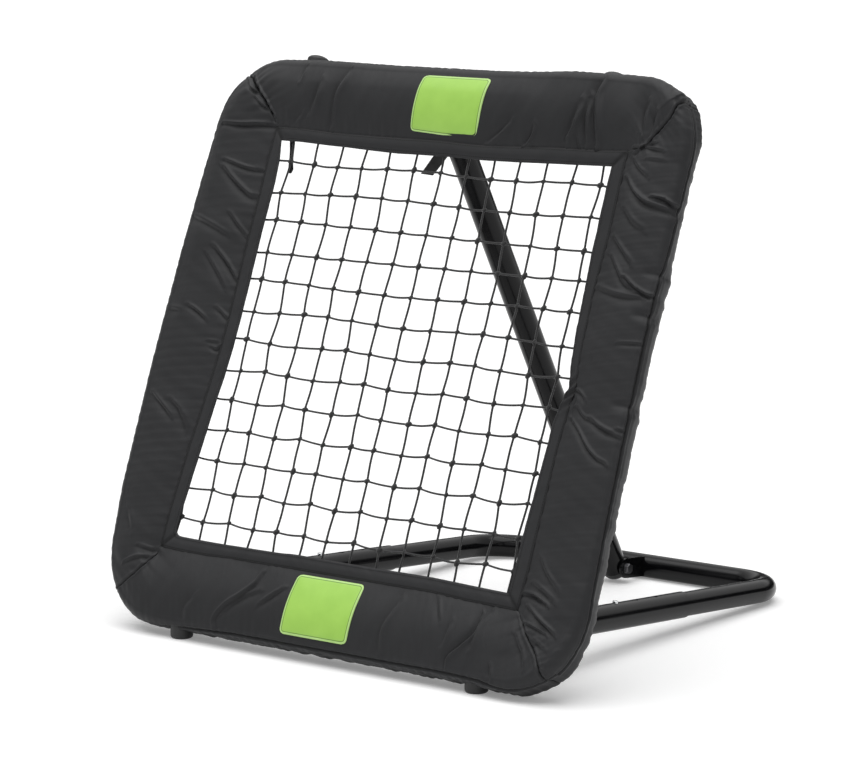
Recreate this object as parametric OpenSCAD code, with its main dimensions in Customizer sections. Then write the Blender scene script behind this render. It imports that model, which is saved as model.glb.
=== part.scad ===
// Pitch back rebounder: a padded square steel frame with a knotted net, leaning back on a
// telescoping U-shaped base and one central strut. Millimetres, floor at z = 0, front at -Y.

/* [Frame] */
// Width between the centres of the upright tubes
frame_w = 778; // [640:2:960]
// Height between the centres of the bottom and top tubes
frame_h = 778; // [640:2:960]
// Outside diameter of the frame tube
tube_d = 38; // [36:0.5:40]
// Wall of the frame tube
tube_wall = 1.5; // [1.2:0.1:2.5]
// Centreline radius of the four corners
bend_r = 85; // [76:1:100]
// Lean of the frame away from the vertical, in degrees
lean = 21.1; // [18:0.1:24]
// Length of the tube inside each joint of the uprights
coupler_l = 120; // [80:5:160]

/* [Padding] */
// Thickness of the padding outside the tube
pad_side = 12; // [10:0.5:16]
// Thickness of the padding in front of the tube, at its edge
pad_front = 10; // [8.5:0.5:14]
// Width of the padded part of the cover, from its outer edge
pad_w = 106; // [98:1:112]
// Rise of the padding's crown above a straight slope
pad_crown = 7; // [4:0.5:10]
// Rounding of the padding's front outer edge
pad_edge_r = 14; // [10:0.5:16]
// Width of the flat hem round the opening
hem_w = 20; // [12:1:26]
// Distance of the hem's face in front of the tube's centre
hem_front = 21.1; // [20.6:0.1:22]
// Thickness of the cover fabric
skin_t = 1.6; // [1.2:0.1:1.8]

/* [Net] */
// Number of meshes along each side of the net
net_cells = 16; // [12:1:17]
// Thickness of the twine
twine_d = 2.6; // [2:0.2:3.4]
// Half diagonal of a knot
knot_r = 6; // [4:0.5:7]
// How far the knots stray from a regular grid
net_stray = 2.4; // [0:0.2:3]
// Diameter of the border rope
rope_d = 6; // [4:0.5:7]
// Distance of the border rope inside the tube's centre
rope_in = 37; // [35:0.5:42]
// Distance of the net in front of the tube's centre
net_front = 14; // [13:0.5:14.5]
// How far the upright strands have been pulled to the right
net_pull = 13; // [0:1:14]
// Spacing of the upright strands, as a share of an even division
net_spread = 1.027; // [0.98:0.001:1.03]

/* [Ties and straps] */
// Width of an elastic tie
tie_w = 4; // [3:0.5:6]
// Thickness of an elastic tie
tie_t = 2.4; // [1.6:0.2:2.6]
// Width of a webbing strap
strap_w = 22; // [16:1:28]
// Thickness of a webbing strap
strap_t = 1.4; // [1:0.1:1.8]
// Drop of the loose strap's tail below the top tube's centre
tail_drop = 124; // [110:1:130]
// How far the end of the tail lies to one side
tail_aside = 33; // [0:1:36]
// Diameter of the lacing cord where it is pulled tight round the rope
lace_d = 3.4; // [2.8:0.1:3.6]
// Width of the lacing cord's flat loose end
lace_w = 10; // [5:0.5:12]
// Length of the lacing cord's loose end
lace_l = 96; // [80:1:110]

/* [Base] */
// Distance from the hinge to the centre of the rear crossbar
base_reach = 692; // [660:1:730]
// Distance of each leg inside the centre of its upright
leg_in = 124; // [110:1:140]
// Outside diameter of the sleeves
sleeve_d = 38; // [37.8:0.2:40]
// Wall of the sleeves
sleeve_wall = 1.2; // [1:0.1:1.3]
// Length of the sleeves behind the hinge
sleeve_l = 424; // [400:2:450]
// Outside diameter of the rear tube
rear_d = 35; // [34:0.1:35.2]
// Wall of the rear tube
rear_wall = 1.5; // [1.2:0.1:2]
// Centreline radius of the rear tube's bends
rear_bend_r = 73; // [60:1:90]

/* [Adjustment] */
// Distance from the hinge to the hole in use
hole_at = 260; // [240:1:280]
// Distance from one hole to the next
hole_pitch = 47.5; // [40:0.5:50]
// Diameter of the snap button
button_d = 8.4; // [7:0.2:10]
// Travel of the snap button
button_press = 5; // [4.5:0.1:5.5]

/* [Hinges and strut] */
// Height of the base hinge above the centre of the bottom tube, along the frame
hinge_up = 39.5; // [38:0.5:44]
// Distance of the base hinge behind the bottom tube's centre
hinge_back = 21.5; // [19:0.5:26]
// Distance of the strut's upper hinge below the centre of the top tube, along the frame
top_drop = 50; // [46:0.5:56]
// Distance of the strut's upper hinge behind the top tube's centre
top_back = 8; // [6:0.5:12]
// Distance of the strut's lower hinge in front of the rear crossbar's centre
clevis_reach = 57; // [52:0.5:64]
// Height of the strut's lower hinge above the plane of the base
clevis_rise = 1.5; // [1.5:0.1:3]
// Outside diameter of the strut
strut_d = 38; // [34:0.5:38.5]
// Wall of the strut
strut_wall = 1.5; // [1.2:0.1:2.5]
// Thickness of the bracket plates
ear_t = 3; // [2:0.2:4]
// Radius of the bracket plates round the bolts
ear_r = 14; // [11:0.5:15]
// Diameter of the hinge bolts
bolt_d = 8; // [6:0.5:9]
// Radial clearance of the strut's lower hole on its bolt
strut_hole_play = 1.7; // [1.6:0.1:2.4]

/* [Feet] */
// Distance of each foot inside the centre of its upright
foot_in = 128.5; // [112:0.5:145]
// Diameter of the feet
foot_d = 32; // [28:0.5:34]
// Height of the tube above the floor
foot_h = 19; // [17:0.5:24]
// Height of the top caps above the padding
cap_out = 7; // [4:0.5:10]

/* [Patches] */
// Width of the patches
patch_w = 118; // [90:1:140]
// Height of the patches
patch_h = 86; // [60:1:88]
// Corner radius of the patches
patch_r = 10; // [4:0.5:16]
// Thickness of the patches
patch_t = 1.6; // [1:0.1:2.5]
// Sideways place of the top patch
patch_top_x = 18; // [-30:1:30]
// Sideways place of the bottom patch
patch_bottom_x = -2; // [-30:1:30]

/* [Hidden] */
$fn = 48;

// Clearances
seat = 0.05;          // between welded or pushed-in pieces
running = 0.1;        // radial, between a bolt and its hole
side_play = 0.5;      // between a bracket plate and the tube that turns in it
wrap_gap = 2.6;       // room round the tube for the ties and straps
lining_gap = 0.1;     // between foam and cover
foot_play = 0.5;      // round a foot where it passes through the padding
mitre_gap = 0.06;     // degrees left open at each mitre seam

// Frame
tube_r = tube_d / 2;
tube_h = tube_r + foot_h;
half_w = frame_w / 2;
half_h = frame_h / 2;
leg_gap = frame_w - 2 * leg_in;
foot_gap = frame_w - 2 * foot_in;
joint_gap = 0.6;
screw_pitch = coupler_l * 0.58;
screw_r = 2.5;

// Padding section, measured inwards from the tube's centreline
outer_z = -(tube_r + pad_side);
seam_z = outer_z + pad_w;
hem_z = seam_z + hem_w;
front_y = tube_r + pad_front;
wrap_r = tube_r + wrap_gap;
crown_steps = 13;
arc_steps = 6;
flap_r = 16;
foam_end_z = seam_z - 6;
foam_back_y = wall_y(hem_front) + 0.5;

// Net
cell_w = (frame_w - 2 * rope_in) / net_cells;
cell_h = (frame_h - 2 * rope_in) / net_cells;
rope_r = rope_d / 2;
twine_r = twine_d / 2;
rope_corner = 12;
column_w = cell_w * net_spread;
tie_places = [-4.5, -2.5, 2.5, 4.5];
strap_places = [-3.5, 3.5];
tail_turn = tail_drop - 38;

// Where the frame, base and strut meet
hinge_dy = hinge_up * sin(lean) + hinge_back * cos(lean);
hinge_z = tube_h + hinge_up * cos(lean) - hinge_back * sin(lean);
slope = asin((hinge_z - rear_d / 2) / base_reach);
pad_nose = (outer_z + pad_edge_r) * sin(lean) - (front_y - pad_edge_r) * cos(lean) - pad_edge_r;
base_tail = hinge_dy + base_reach * cos(slope) + rear_d / 2;
frame_y = -(pad_nose + base_tail) / 2;
hinge_y = frame_y + hinge_dy;
top_y = frame_y + (frame_h - top_drop) * sin(lean) + top_back * cos(lean);
top_z = tube_h + (frame_h - top_drop) * cos(lean) - top_back * sin(lean);
pin_along = base_reach - clevis_reach;
pin_y = hinge_y + pin_along * cos(slope) + clevis_rise * sin(slope);
pin_z = hinge_z - pin_along * sin(slope) + clevis_rise * cos(slope);
strut_l = norm([pin_y - top_y, pin_z - top_z]);
strut_tilt = atan2(pin_y - top_y, top_z - pin_z);

// Tubes, plugs and bolts
sleeve_r = sleeve_d / 2;
rear_r = rear_d / 2;
strut_r = strut_d / 2;
leg_x = leg_gap / 2;
end_reach = 3;
plug_l = 26;
clip_back = 40;
hole_count = 4;
hole_below = 1;
bolt_r = bolt_d / 2;
hex_r = bolt_r * 1.87;
head_h = bolt_r * 1.33;
nut_h = bolt_r * 2;
washer_t = 1.6;
washer_r = bolt_r * 2;

// Feet and caps
spigot_r = 5;
spigot_in = 4;
foot_round = 4;
foot_top = tube_h - sqrt(pow(tube_r, 2) - pow(tube_h * tan(lean), 2));

echo(strut_l = strut_l, strut_tilt = strut_tilt, slope = slope);
echo(hinge = [hinge_y, hinge_z], top = [top_y, top_z], pin = [pin_y, pin_z], frame_y = frame_y);

// ---- Places ----

// Frame space: origin at the middle of the bottom tube, z up the frame, y to the rear
module at_frame() {
    translate([0, frame_y, tube_h]) rotate([-lean, 0, 0]) children();
}

// Base space: origin between the two hinges, y along the legs to the rear
module at_base() {
    translate([0, hinge_y, hinge_z]) rotate([-slope, 0, 0]) children();
}

// Strut space: origin at the upper hinge, the strut hangs down along -z
module at_strut() {
    translate([0, top_y, top_z]) rotate([strut_tilt, 0, 0]) children();
}

// Side space: origin at the middle of one tube, x along it, z towards the net
module on_bottom() { children(); }
module on_top() { translate([0, 0, frame_h]) rotate([0, 180, 0]) children(); }
module on_left() { translate([-half_w, 0, half_h]) rotate([0, 90, 0]) children(); }
module on_right() { translate([half_w, 0, half_h]) rotate([0, -90, 0]) children(); }

// Turns a drawing in the yz plane into a solid of the given width along x
module across(width) {
    rotate([90, 0, 90]) linear_extrude(width, center = true) children();
}

// ---- Shared shapes ----

module rod_x(r, l) { rotate([0, 90, 0]) cylinder(r = r, h = l, center = true); }

module hex_x(r, l) { rotate([0, 90, 0]) cylinder(r = r, h = l, $fn = 6); }

// A rod bent to a U: crossbar on x, legs rising to leg_top
module u_rod(width, leg_top, bend, r) {
    rod_x(r, width - 2 * bend);
    for (side = [0, 1]) mirror([side, 0, 0]) {
        translate([width / 2 - bend, 0, bend]) rotate([90, 0, 0]) rotate([0, 0, -90])
            rotate_extrude(angle = 90) translate([bend, 0]) circle(r);
        translate([width / 2, 0, bend]) cylinder(r = r, h = leg_top - bend);
    }
}

// A flat plate round two centres, as wide as the circle at each of them
module link(p1, r1, p2, r2) {
    d = p2 - p1;
    dir = atan2(d[1], d[0]);
    open = acos((r1 - r2) / norm(d));
    translate(p1) circle(r1);
    translate(p2) circle(r2);
    polygon([for (c = [[p1, r1, open], [p2, r2, open], [p2, r2, -open], [p1, r1, -open]])
        c[0] + c[1] * [cos(dir + c[2]), sin(dir + c[2])]]);
}

// Two bracket plates and the saddle that joins them on a tube at the origin
module bracket(tube, pivot, gap, plate_r, root_r) {
    saddle_t = 2.4;
    dir = atan2(pivot[1], pivot[0]);
    for (side = [-1, 1]) translate([side * (gap + ear_t) / 2, 0, 0]) across(ear_t) difference() {
        link([0, 0], root_r, pivot, plate_r);
        circle(tube + seat);
        translate(pivot) circle(bolt_r + running);
    }
    across(gap + ear_t) difference() {
        intersection() {
            circle(tube + seat + saddle_t);
            rotate(dir) polygon([[0, 0], [60, -44], [60, 44]]);
        }
        circle(tube + seat);
    }
}

// Bolt with its head on the right, nut and washers, for plates of the given outer width
module hinge_bolt(outer) {
    stack = outer / 2 + washer_t;
    translate([stack, 0, 0]) hex_x(hex_r, head_h);
    rod_x(bolt_r, 2 * stack);
    translate([-stack - nut_h - 2, 0, 0]) rotate([0, 90, 0]) cylinder(r = bolt_r, h = nut_h + 2.1);
}

module hinge_nut(outer) {
    stack = outer / 2 + washer_t;
    translate([-stack - nut_h, 0, 0]) rotate([0, 90, 0]) difference() {
        union() {
            cylinder(r = hex_r, h = nut_h * 0.8, $fn = 6);
            cylinder(r = hex_r * 0.84, h = nut_h);
        }
        translate([0, 0, -1]) cylinder(r = bolt_r + seat, h = nut_h + 2);
    }
}

module washer_pair(outer) {
    for (side = [-1, 1]) translate([side * (outer + washer_t) / 2, 0, 0]) difference() {
        rod_x(washer_r, washer_t);
        rod_x(bolt_r + running, washer_t + 2);
    }
}

function stack_width(d) = d + 2 * side_play + 2 * ear_t;

// ---- Frame tubes ----

module half_frame() {
    difference() {
        u_rod(frame_w, half_h - joint_gap / 2, bend_r, tube_r);
        u_rod(frame_w, half_h + 1, bend_r, tube_r - tube_wall);
        for (side = [-1, 1]) {
            translate([side * foot_gap / 2, 0, -tube_r - 1]) cylinder(r = spigot_r + running, h = tube_r);
            translate([side * (half_w - tube_r / 2), 0, half_h - screw_pitch / 2])
                rod_x(screw_r + running, tube_r + 4);
        }
    }
}

module lower_tube() { color("#151617") at_frame() half_frame(); }

module upper_tube() { color("#151617") at_frame() on_top() half_frame(); }

module tube_couplers() {
    coupler_r = tube_r - tube_wall - 2 * seat;
    color("#8b8d90") at_frame() for (side = [-1, 1]) translate([side * half_w, 0, half_h]) difference() {
        cylinder(r = coupler_r, h = coupler_l, center = true);
        cylinder(r = coupler_r - tube_wall, h = coupler_l + 2, center = true);
        for (end = [-1, 1]) translate([-side * tube_r / 2, 0, end * screw_pitch / 2])
            rod_x(screw_r + running, tube_r + 4);
    }
}

module coupler_screws() {
    shank = tube_wall * 2 + 6;
    color("#2a2b2d") at_frame() for (side = [-1, 1], end = [-1, 1])
        translate([side * (half_w - tube_r), 0, half_h + end * screw_pitch / 2]) {
            translate([side * shank / 2, 0, 0]) rod_x(screw_r, shank);
            rotate([0, -side * 90, 0]) rotate_extrude()
                polygon([[0, 0], [screw_r * 1.9, 0], [screw_r * 1.7, 1.6], [screw_r, 2.6], [0, 2.8]]);
        }
}

// ---- Brackets and their fasteners ----

module hinge_bracket(side) {
    color("#151617") at_frame() translate([side * leg_x, 0, 0])
        bracket(tube_r, [hinge_back, hinge_up], sleeve_d + 2 * side_play, ear_r, tube_r - 3);
}

module hinge_bracket_left() { hinge_bracket(-1); }

module hinge_bracket_right() { hinge_bracket(1); }

module top_bracket() {
    color("#151617") at_frame() translate([0, 0, frame_h])
        bracket(tube_r, [top_back, -top_drop], strut_d + 2 * side_play, ear_r, tube_r - 3);
}

module at_hinges() {
    for (side = [0, 1]) mirror([side, 0, 0]) translate([leg_x, hinge_y, hinge_z]) children();
}

module hinge_bolts() { color("#9a9c9f") at_hinges() hinge_bolt(stack_width(sleeve_d)); }

module hinge_nuts() { color("#9a9c9f") at_hinges() hinge_nut(stack_width(sleeve_d)); }

module hinge_washers() { color("#a8aaad") at_hinges() washer_pair(stack_width(sleeve_d)); }

module top_bolt() { color("#9a9c9f") at_strut() hinge_bolt(stack_width(strut_d)); }

module top_nut() { color("#9a9c9f") at_strut() hinge_nut(stack_width(strut_d)); }

module top_washers() { color("#a8aaad") at_strut() washer_pair(stack_width(strut_d)); }

// ---- Feet and caps ----

// Upright block of a foot, standing on the floor under the bottom tube
module foot_block(side, grow) {
    r = foot_d / 2 + grow;
    translate([side * foot_gap / 2, 0, -tube_h / cos(lean)]) rotate([lean, 0, 0]) rotate_extrude()
        polygon(concat([[0, 0]], [for (k = [0 : arc_steps]) let (a = -90 + k * 90 / arc_steps)
            [r - foot_round * (1 - cos(a)), foot_round * (1 + sin(a))]], [[r, foot_top], [0, foot_top]]));
}

module foot(side) {
    color("#101011") at_frame() {
        difference() {
            foot_block(side, 0);
            rod_x(tube_r + seat, frame_w);
        }
        translate([side * foot_gap / 2, 0, -tube_r - 1]) cylinder(r = spigot_r, h = spigot_in + tube_wall);
    }
}

module foot_left() { foot(-1); }

module foot_right() { foot(1); }

module top_cap(side) {
    cap_r = foot_d / 2;
    cap_h = pad_side + cap_out;
    color("#101011") at_frame() translate([side * foot_gap / 2, 0, frame_h]) {
        difference() {
            rotate_extrude() polygon(concat([[0, 0], [cap_r, 0]], [for (k = [0 : 12]) let (a = k * 7.5)
                [cap_r * cos(a), tube_r + cap_h - cap_out * (1 - sin(a))]]));
            rod_x(tube_r + seat, foot_d * 2);
        }
        translate([0, 0, tube_r - spigot_in]) cylinder(r = spigot_r, h = spigot_in + 2);
    }
}

module top_cap_left() { top_cap(-1); }

module top_cap_right() { top_cap(1); }

// ---- Padding ----

// Height of the padding's face in front of the tube's centre, z measured from the tube's centreline
function face_y(z) = let (t = (z - outer_z - pad_edge_r) / (pad_w - pad_edge_r))
    front_y * (1 - t) + hem_front * t + pad_crown * sin(180 * t);

// Face of the cover, inset by i, from the back flap round the outer edge to end_z
function wall_y(y) = y - skin_t;

function face(i, end_z) = let (
        last = min(seam_z, end_z),
        start = outer_z + pad_edge_r
    ) concat(
        [[wrap_r + skin_t - i, 0]],
        [for (k = [0 : arc_steps]) let (a = k * 90 / arc_steps, r = flap_r - i)
            [wrap_r + skin_t - flap_r + r * cos(a), outer_z + flap_r - r * sin(a)]],
        [for (k = [0 : arc_steps]) let (a = k * 90 / arc_steps, r = pad_edge_r - i)
            [-(front_y - pad_edge_r + r * sin(a)), start - r * cos(a)]],
        [for (k = [1 : crown_steps]) let (z = start + (last - start) * k / crown_steps) [-(face_y(z) - i), z]],
        end_z > seam_z ? [[-(hem_front - i), end_z]] : []
    );

function flip(list) = [for (k = [len(list) - 1 : -1 : 0]) list[k]];

function cover_section(end_z) = concat(face(0, end_z), flip(face(skin_t, end_z)));

function foam_section() = let (i = skin_t + lining_gap, outside = face(i, foam_end_z)) concat(
    [for (k = [1 : len(outside) - 1]) if (outside[k][0] < tube_r * 0.7) outside[k]],
    [[-foam_back_y, foam_end_z]],
    [for (k = [0 : 12]) let (a = 180 + k * 130 / 12) wrap_r * [cos(a), sin(a)]]
);

// One padded side: straight along its tube, turning half of each corner to the mitre seam
module padded_side(straight, section, corner_section) {
    difference() {
        across(straight) polygon(section);
        for (end = [0, 1]) mirror([end, 0, 0]) rotate([90, 0, 0]) linear_extrude(4 * front_y, center = true)
            polygon([[straight / 2 - mitre_gap, bend_r], [straight / 2 + 1, bend_r],
                [straight / 2 + 1, bend_r + 90], [straight / 2 - 90 - mitre_gap, bend_r + 90]]);
    }
    for (end = [0, 1]) mirror([end, 0, 0]) translate([straight / 2, 0, bend_r]) rotate([90, 90, 0])
        rotate_extrude(angle = 45 - mitre_gap) polygon([for (p = corner_section) [bend_r - p[1], -p[0]]]);
}

module cover(straight) {
    padded_side(straight, cover_section(hem_z), cover_section(min(hem_z, bend_r - 0.5)));
}

module foam(straight) {
    padded_side(straight, foam_section(), foam_section());
}

straight_w = frame_w - 2 * bend_r;
straight_h = frame_h - 2 * bend_r;

module foot_holes() {
    for (side = [-1, 1]) foot_block(side, foot_play);
}

module cap_holes() {
    for (side = [-1, 1]) translate([side * foot_gap / 2, 0, frame_h])
        cylinder(r = foot_d / 2 + foot_play, h = tube_r + pad_side + 5);
}

module foam_bottom() { color("#3a3b3d") at_frame() difference() { foam(straight_w); foot_holes(); } }

module foam_top() { color("#3a3b3d") at_frame() difference() { on_top() foam(straight_w); cap_holes(); } }

module foam_left() { color("#3a3b3d") at_frame() on_left() foam(straight_h); }

module foam_right() { color("#3a3b3d") at_frame() on_right() foam(straight_h); }

module cover_bottom() { color("#2c2d2f") at_frame() difference() { cover(straight_w); foot_holes(); } }

module cover_top() { color("#2c2d2f") at_frame() difference() { on_top() cover(straight_w); cap_holes(); } }

module cover_left() { color("#2c2d2f") at_frame() on_left() cover(straight_h); }

module cover_right() { color("#2c2d2f") at_frame() on_right() cover(straight_h); }

// A patch follows the crown of the padding
module patch(x) {
    gap = 0.1;
    low_z = seam_z - 2 - patch_h;
    steps = 12;
    zs = [for (k = [0 : steps]) low_z + patch_h * k / steps];
    intersection() {
        translate([x, 0, 0]) across(patch_w) polygon(concat(
            [for (z = zs) [-(face_y(z) + gap), z]],
            [for (k = [steps : -1 : 0]) [-(face_y(zs[k]) + gap + patch_t), zs[k]]]));
        translate([x, 0, low_z + patch_h / 2]) rotate([90, 0, 0]) linear_extrude(60) union() {
            square([patch_w - 2 * patch_r, patch_h], center = true);
            square([patch_w, patch_h - 2 * patch_r], center = true);
            for (sx = [-1, 1], sz = [-1, 1])
                translate([sx * (patch_w / 2 - patch_r), sz * (patch_h / 2 - patch_r)]) circle(patch_r);
        }
    }
}

module patch_top() { color("#a3cc52") at_frame() on_top() patch(-patch_top_x); }

module patch_bottom() { color("#a3cc52") at_frame() patch(patch_bottom_x); }

// ---- Net, ties and straps ----

// A knot of the net strays from the grid by a fixed rule, and stays on it at the border
function stray(i, k, phase) =
    i == 0 || k == 0 || i == net_cells || k == net_cells ? 0
    : net_stray * sin(i * 97 + k * 151 + i * k * 23 + phase);

function column_x(i) = i == 0 || i == net_cells ? (i / net_cells - 0.5) * net_cells * cell_w
    : (i - net_cells / 2) * column_w + net_pull;

function knot(i, k) = [
    column_x(i) + stray(i, k, 0),
    (k - net_cells / 2) * cell_h + stray(i, k, 75)
];

// One gap of the net, its four corners cut by the knots
function mesh_gap(i, k) = let (s = twine_r, c = knot_r - twine_r) [
    knot(i, k) + [c, s], knot(i + 1, k) + [-c, s],
    knot(i + 1, k) + [-s, c], knot(i + 1, k + 1) + [-s, -c],
    knot(i + 1, k + 1) + [-c, -s], knot(i, k + 1) + [c, -s],
    knot(i, k + 1) + [s, -c], knot(i, k) + [s, c]
];

module net() {
    w = net_cells * cell_w / 2;
    h = net_cells * cell_h / 2;
    cut = knot_r / 2;
    rim = [[cut - w, -h], [w - cut, -h], [w, cut - h], [w, h - cut],
        [w - cut, h], [cut - w, h], [-w, h - cut], [-w, cut - h]];
    color("#1b1b1c") at_frame() translate([0, -net_front, half_h]) rotate([90, 0, 0])
        linear_extrude(twine_d, center = true) difference() {
            polygon(rim);
            for (i = [0 : net_cells - 1], k = [0 : net_cells - 1]) polygon(mesh_gap(i, k));
        }
}

module net_border_rope() {
    w = frame_w - 2 * rope_in;
    h = frame_h - 2 * rope_in;
    color("#1b1b1c") at_frame() translate([0, -net_front, half_h])
        for (side = [-1, 1]) {
            translate([side * w / 2, 0, 0]) cylinder(r = rope_r, h = h - 2 * rope_corner, center = true);
            translate([0, 0, side * h / 2]) rod_x(rope_r, w - 2 * rope_corner);
            for (end = [-1, 1]) translate([side * (w / 2 - rope_corner), 0, end * (h / 2 - rope_corner)])
                rotate([90, 0, 0]) rotate([0, 0, end > 0 ? (side > 0 ? 0 : 90) : (side > 0 ? -90 : 180)])
                    rotate_extrude(angle = 90) translate([rope_corner, 0]) circle(rope_r);
        }
}

// An elastic loop round the tube and the border rope
module tie() {
    rope = [-net_front, rope_in];
    across(tie_w) difference() {
        link([0, 0], tube_r + running + tie_t, rope, rope_r + running + tie_t);
        link([0, 0], tube_r + running, rope, rope_r + running);
    }
}

module net_ties() {
    color("#222223") at_frame() for (place = tie_places) {
        on_bottom() translate([place * column_w + net_pull, 0, 0]) tie();
        on_top() translate([-place * column_w - net_pull, 0, 0]) tie();
        on_left() translate([place * cell_h, 0, 0]) tie();
        on_right() translate([place * cell_h, 0, 0]) tie();
    }
}

module strap_ring() {
    difference() {
        rod_x(tube_r + running + strap_t, strap_w);
        rod_x(tube_r + running, strap_w + 2);
    }
}

module cover_straps() {
    color("#18181a") at_frame() for (place = strap_places) {
        on_bottom() translate([place * cell_w, 0, 0]) strap_ring();
        on_top() translate([place * cell_w, 0, 0]) strap_ring();
        on_left() translate([place * cell_h, 0, 0]) strap_ring();
        on_right() translate([place * cell_h, 0, 0]) strap_ring();
    }
}

// A strap round the top tube beside the bracket. Its free end hangs behind the tube, held off the
// plumb by the flap of the cover, and is folded to one side below.
module loose_strap() {
    w = strap_w / 2 - 0.2;
    off_plumb = 2;
    beside = strut_d / 2 + side_play + ear_t + strap_w / 2 + 4.5;
    color("#18181a") at_frame() translate([-beside, 0, frame_h]) {
        strap_ring();
        rotate([lean - off_plumb, 0, 0]) translate([0, tube_r + running + strap_t / 2, 0]) rotate([90, 0, 0])
            linear_extrude(strap_t - 0.3, center = true) polygon([[-w, 0], [w, 0], [w, -tail_turn - 4],
                [w - tail_aside, -tail_drop], [-w - tail_aside, -tail_drop], [-w, -tail_turn]]);
    }
}

// The free end of the lacing cord: a tight loop round the border rope, and the flat end that hangs
// from it, turned edge on once above its slanting tip
lace_x = 111 - half_w;
lace_r = lace_d / 2;
lace_loop_r = rope_r + lace_r + running;
lace_route = [[0, 0], [0.3, -0.14], [0.1, -0.28], [-0.4, -0.42], [-1, -0.55],
    [-1.8, -0.66], [-3, -0.76], [-4, -0.86], [-4.4, -0.94], [-5.6, -1]];
lace_half = [[lace_r, lace_r], [lace_r, lace_r], [lace_w * 0.3, lace_r], [lace_w * 0.46, 1.4], [lace_w / 2, 1.2],
    [lace_w * 0.36, 2.6], [lace_w * 0.26, 3.6], [lace_w * 0.4, 2.2], [lace_w / 2, 1.2], [lace_w * 0.2, 1]];

// A soft cord through points in the xz plane, with its half width and half thickness at each point
module hanging_cord(route, half) {
    sides = 8;
    last = len(route) - 1;
    points = [for (k = [0 : last], s = [0 : sides - 1])
        [route[k][0] + half[k][0] * cos(s * 360 / sides), half[k][1] * sin(s * 360 / sides), route[k][1] * lace_l]];
    caps = [for (s = [1 : sides - 2], end = [0, last * sides]) end > 0 ? [end, end + s, end + s + 1] : [0, s + 1, s]];
    skin = [for (k = [0 : last - 1], s = [0 : sides - 1]) let (n = (s + 1) % sides) each [
        [k * sides + s, k * sides + n, (k + 1) * sides + s],
        [k * sides + n, (k + 1) * sides + n, (k + 1) * sides + s]]];
    polyhedron(points, concat(caps, skin));
}

module lace_tail() {
    color("#18181a") at_frame() translate([lace_x, -net_front, frame_h - rope_in]) {
        rotate([0, 90, 0]) rotate_extrude() translate([lace_loop_r, 0]) circle(lace_r);
        rotate([lean, 0, 0]) translate([0, 0, -lace_loop_r - lace_r - seat]) hanging_cord(lace_route, lace_half);
    }
}

// ---- Base ----

module sleeve(side) {
    color("#17181a") at_base() translate([side * leg_x, 0, 0]) difference() {
        translate([0, -end_reach, 0]) rotate([-90, 0, 0]) cylinder(r = sleeve_r, h = sleeve_l + end_reach);
        translate([0, -end_reach - 1, 0]) rotate([-90, 0, 0])
            cylinder(r = sleeve_r - sleeve_wall, h = sleeve_l + end_reach + 2);
        rod_x(bolt_r + running, sleeve_d + 2);
        for (k = [-hole_below : hole_count - hole_below - 1])
            translate([0, hole_at + k * hole_pitch, 0]) cylinder(r = button_d / 2 + 0.5, h = sleeve_d);
    }
}

module sleeve_left() { sleeve(-1); }

module sleeve_right() { sleeve(1); }

// Plug of a tube that ends at z = end_reach: a low dome outside, a stub inside, cross-drilled at the origin
module tube_plug(r, wall, hole_r) {
    dome = 0.85;
    difference() {
        rotate_extrude() intersection() {
            union() {
                translate([0, end_reach]) scale([1, dome]) circle(r);
                translate([0, end_reach - plug_l]) square([r - wall - seat, plug_l]);
            }
            union() {
                translate([0, end_reach]) square([r + 1, r + 1]);
                translate([0, end_reach - plug_l]) square([r - wall - seat, plug_l + 1]);
            }
        }
        rod_x(hole_r, 2 * r + 2);
    }
}

module sleeve_plug(side) {
    color("#121213") at_base() translate([side * leg_x, 0, 0]) rotate([90, 0, 0])
        tube_plug(sleeve_r, sleeve_wall, bolt_r + running);
}

module sleeve_plug_left() { sleeve_plug(-1); }

module sleeve_plug_right() { sleeve_plug(1); }

module rear_tube() {
    leg_top = base_reach - hole_at + clip_back;
    color("#17181a") at_base() translate([0, base_reach, 0]) rotate([90, 0, 0]) difference() {
        u_rod(leg_gap, leg_top, rear_bend_r, rear_r);
        u_rod(leg_gap, leg_top + 1, rear_bend_r, rear_r - rear_wall);
        for (side = [-1, 1]) translate([side * leg_x, 0, leg_top - clip_back])
            rotate([-90, 0, 0]) cylinder(r = button_d / 2 + 0.3, h = rear_d);
    }
}

module strut_clevis() {
    color("#17181a") at_base() translate([0, base_reach, 0])
        bracket(rear_r, [-clevis_reach, clevis_rise], strut_d + 2 * side_play, ear_r + 1, rear_r - 2.5);
}

module at_pin() { translate([0, pin_y, pin_z]) children(); }

module strut_bolt() { color("#9a9c9f") at_pin() hinge_bolt(stack_width(strut_d)); }

module strut_nut() { color("#9a9c9f") at_pin() hinge_nut(stack_width(strut_d)); }

module strut_washers() { color("#a8aaad") at_pin() washer_pair(stack_width(strut_d)); }

// Outline of a strip of thickness t that follows a line of points
function along(p, k) = let (d = p[min(k + 1, len(p) - 1)] - p[max(k - 1, 0)]) d / norm(d);

function ribbon(p, t) = concat(
    [for (k = [0 : len(p) - 1]) p[k] + t / 2 * [-along(p, k)[1], along(p, k)[0]]],
    [for (k = [len(p) - 1 : -1 : 0]) p[k] - t / 2 * [-along(p, k)[1], along(p, k)[0]]]
);

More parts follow.
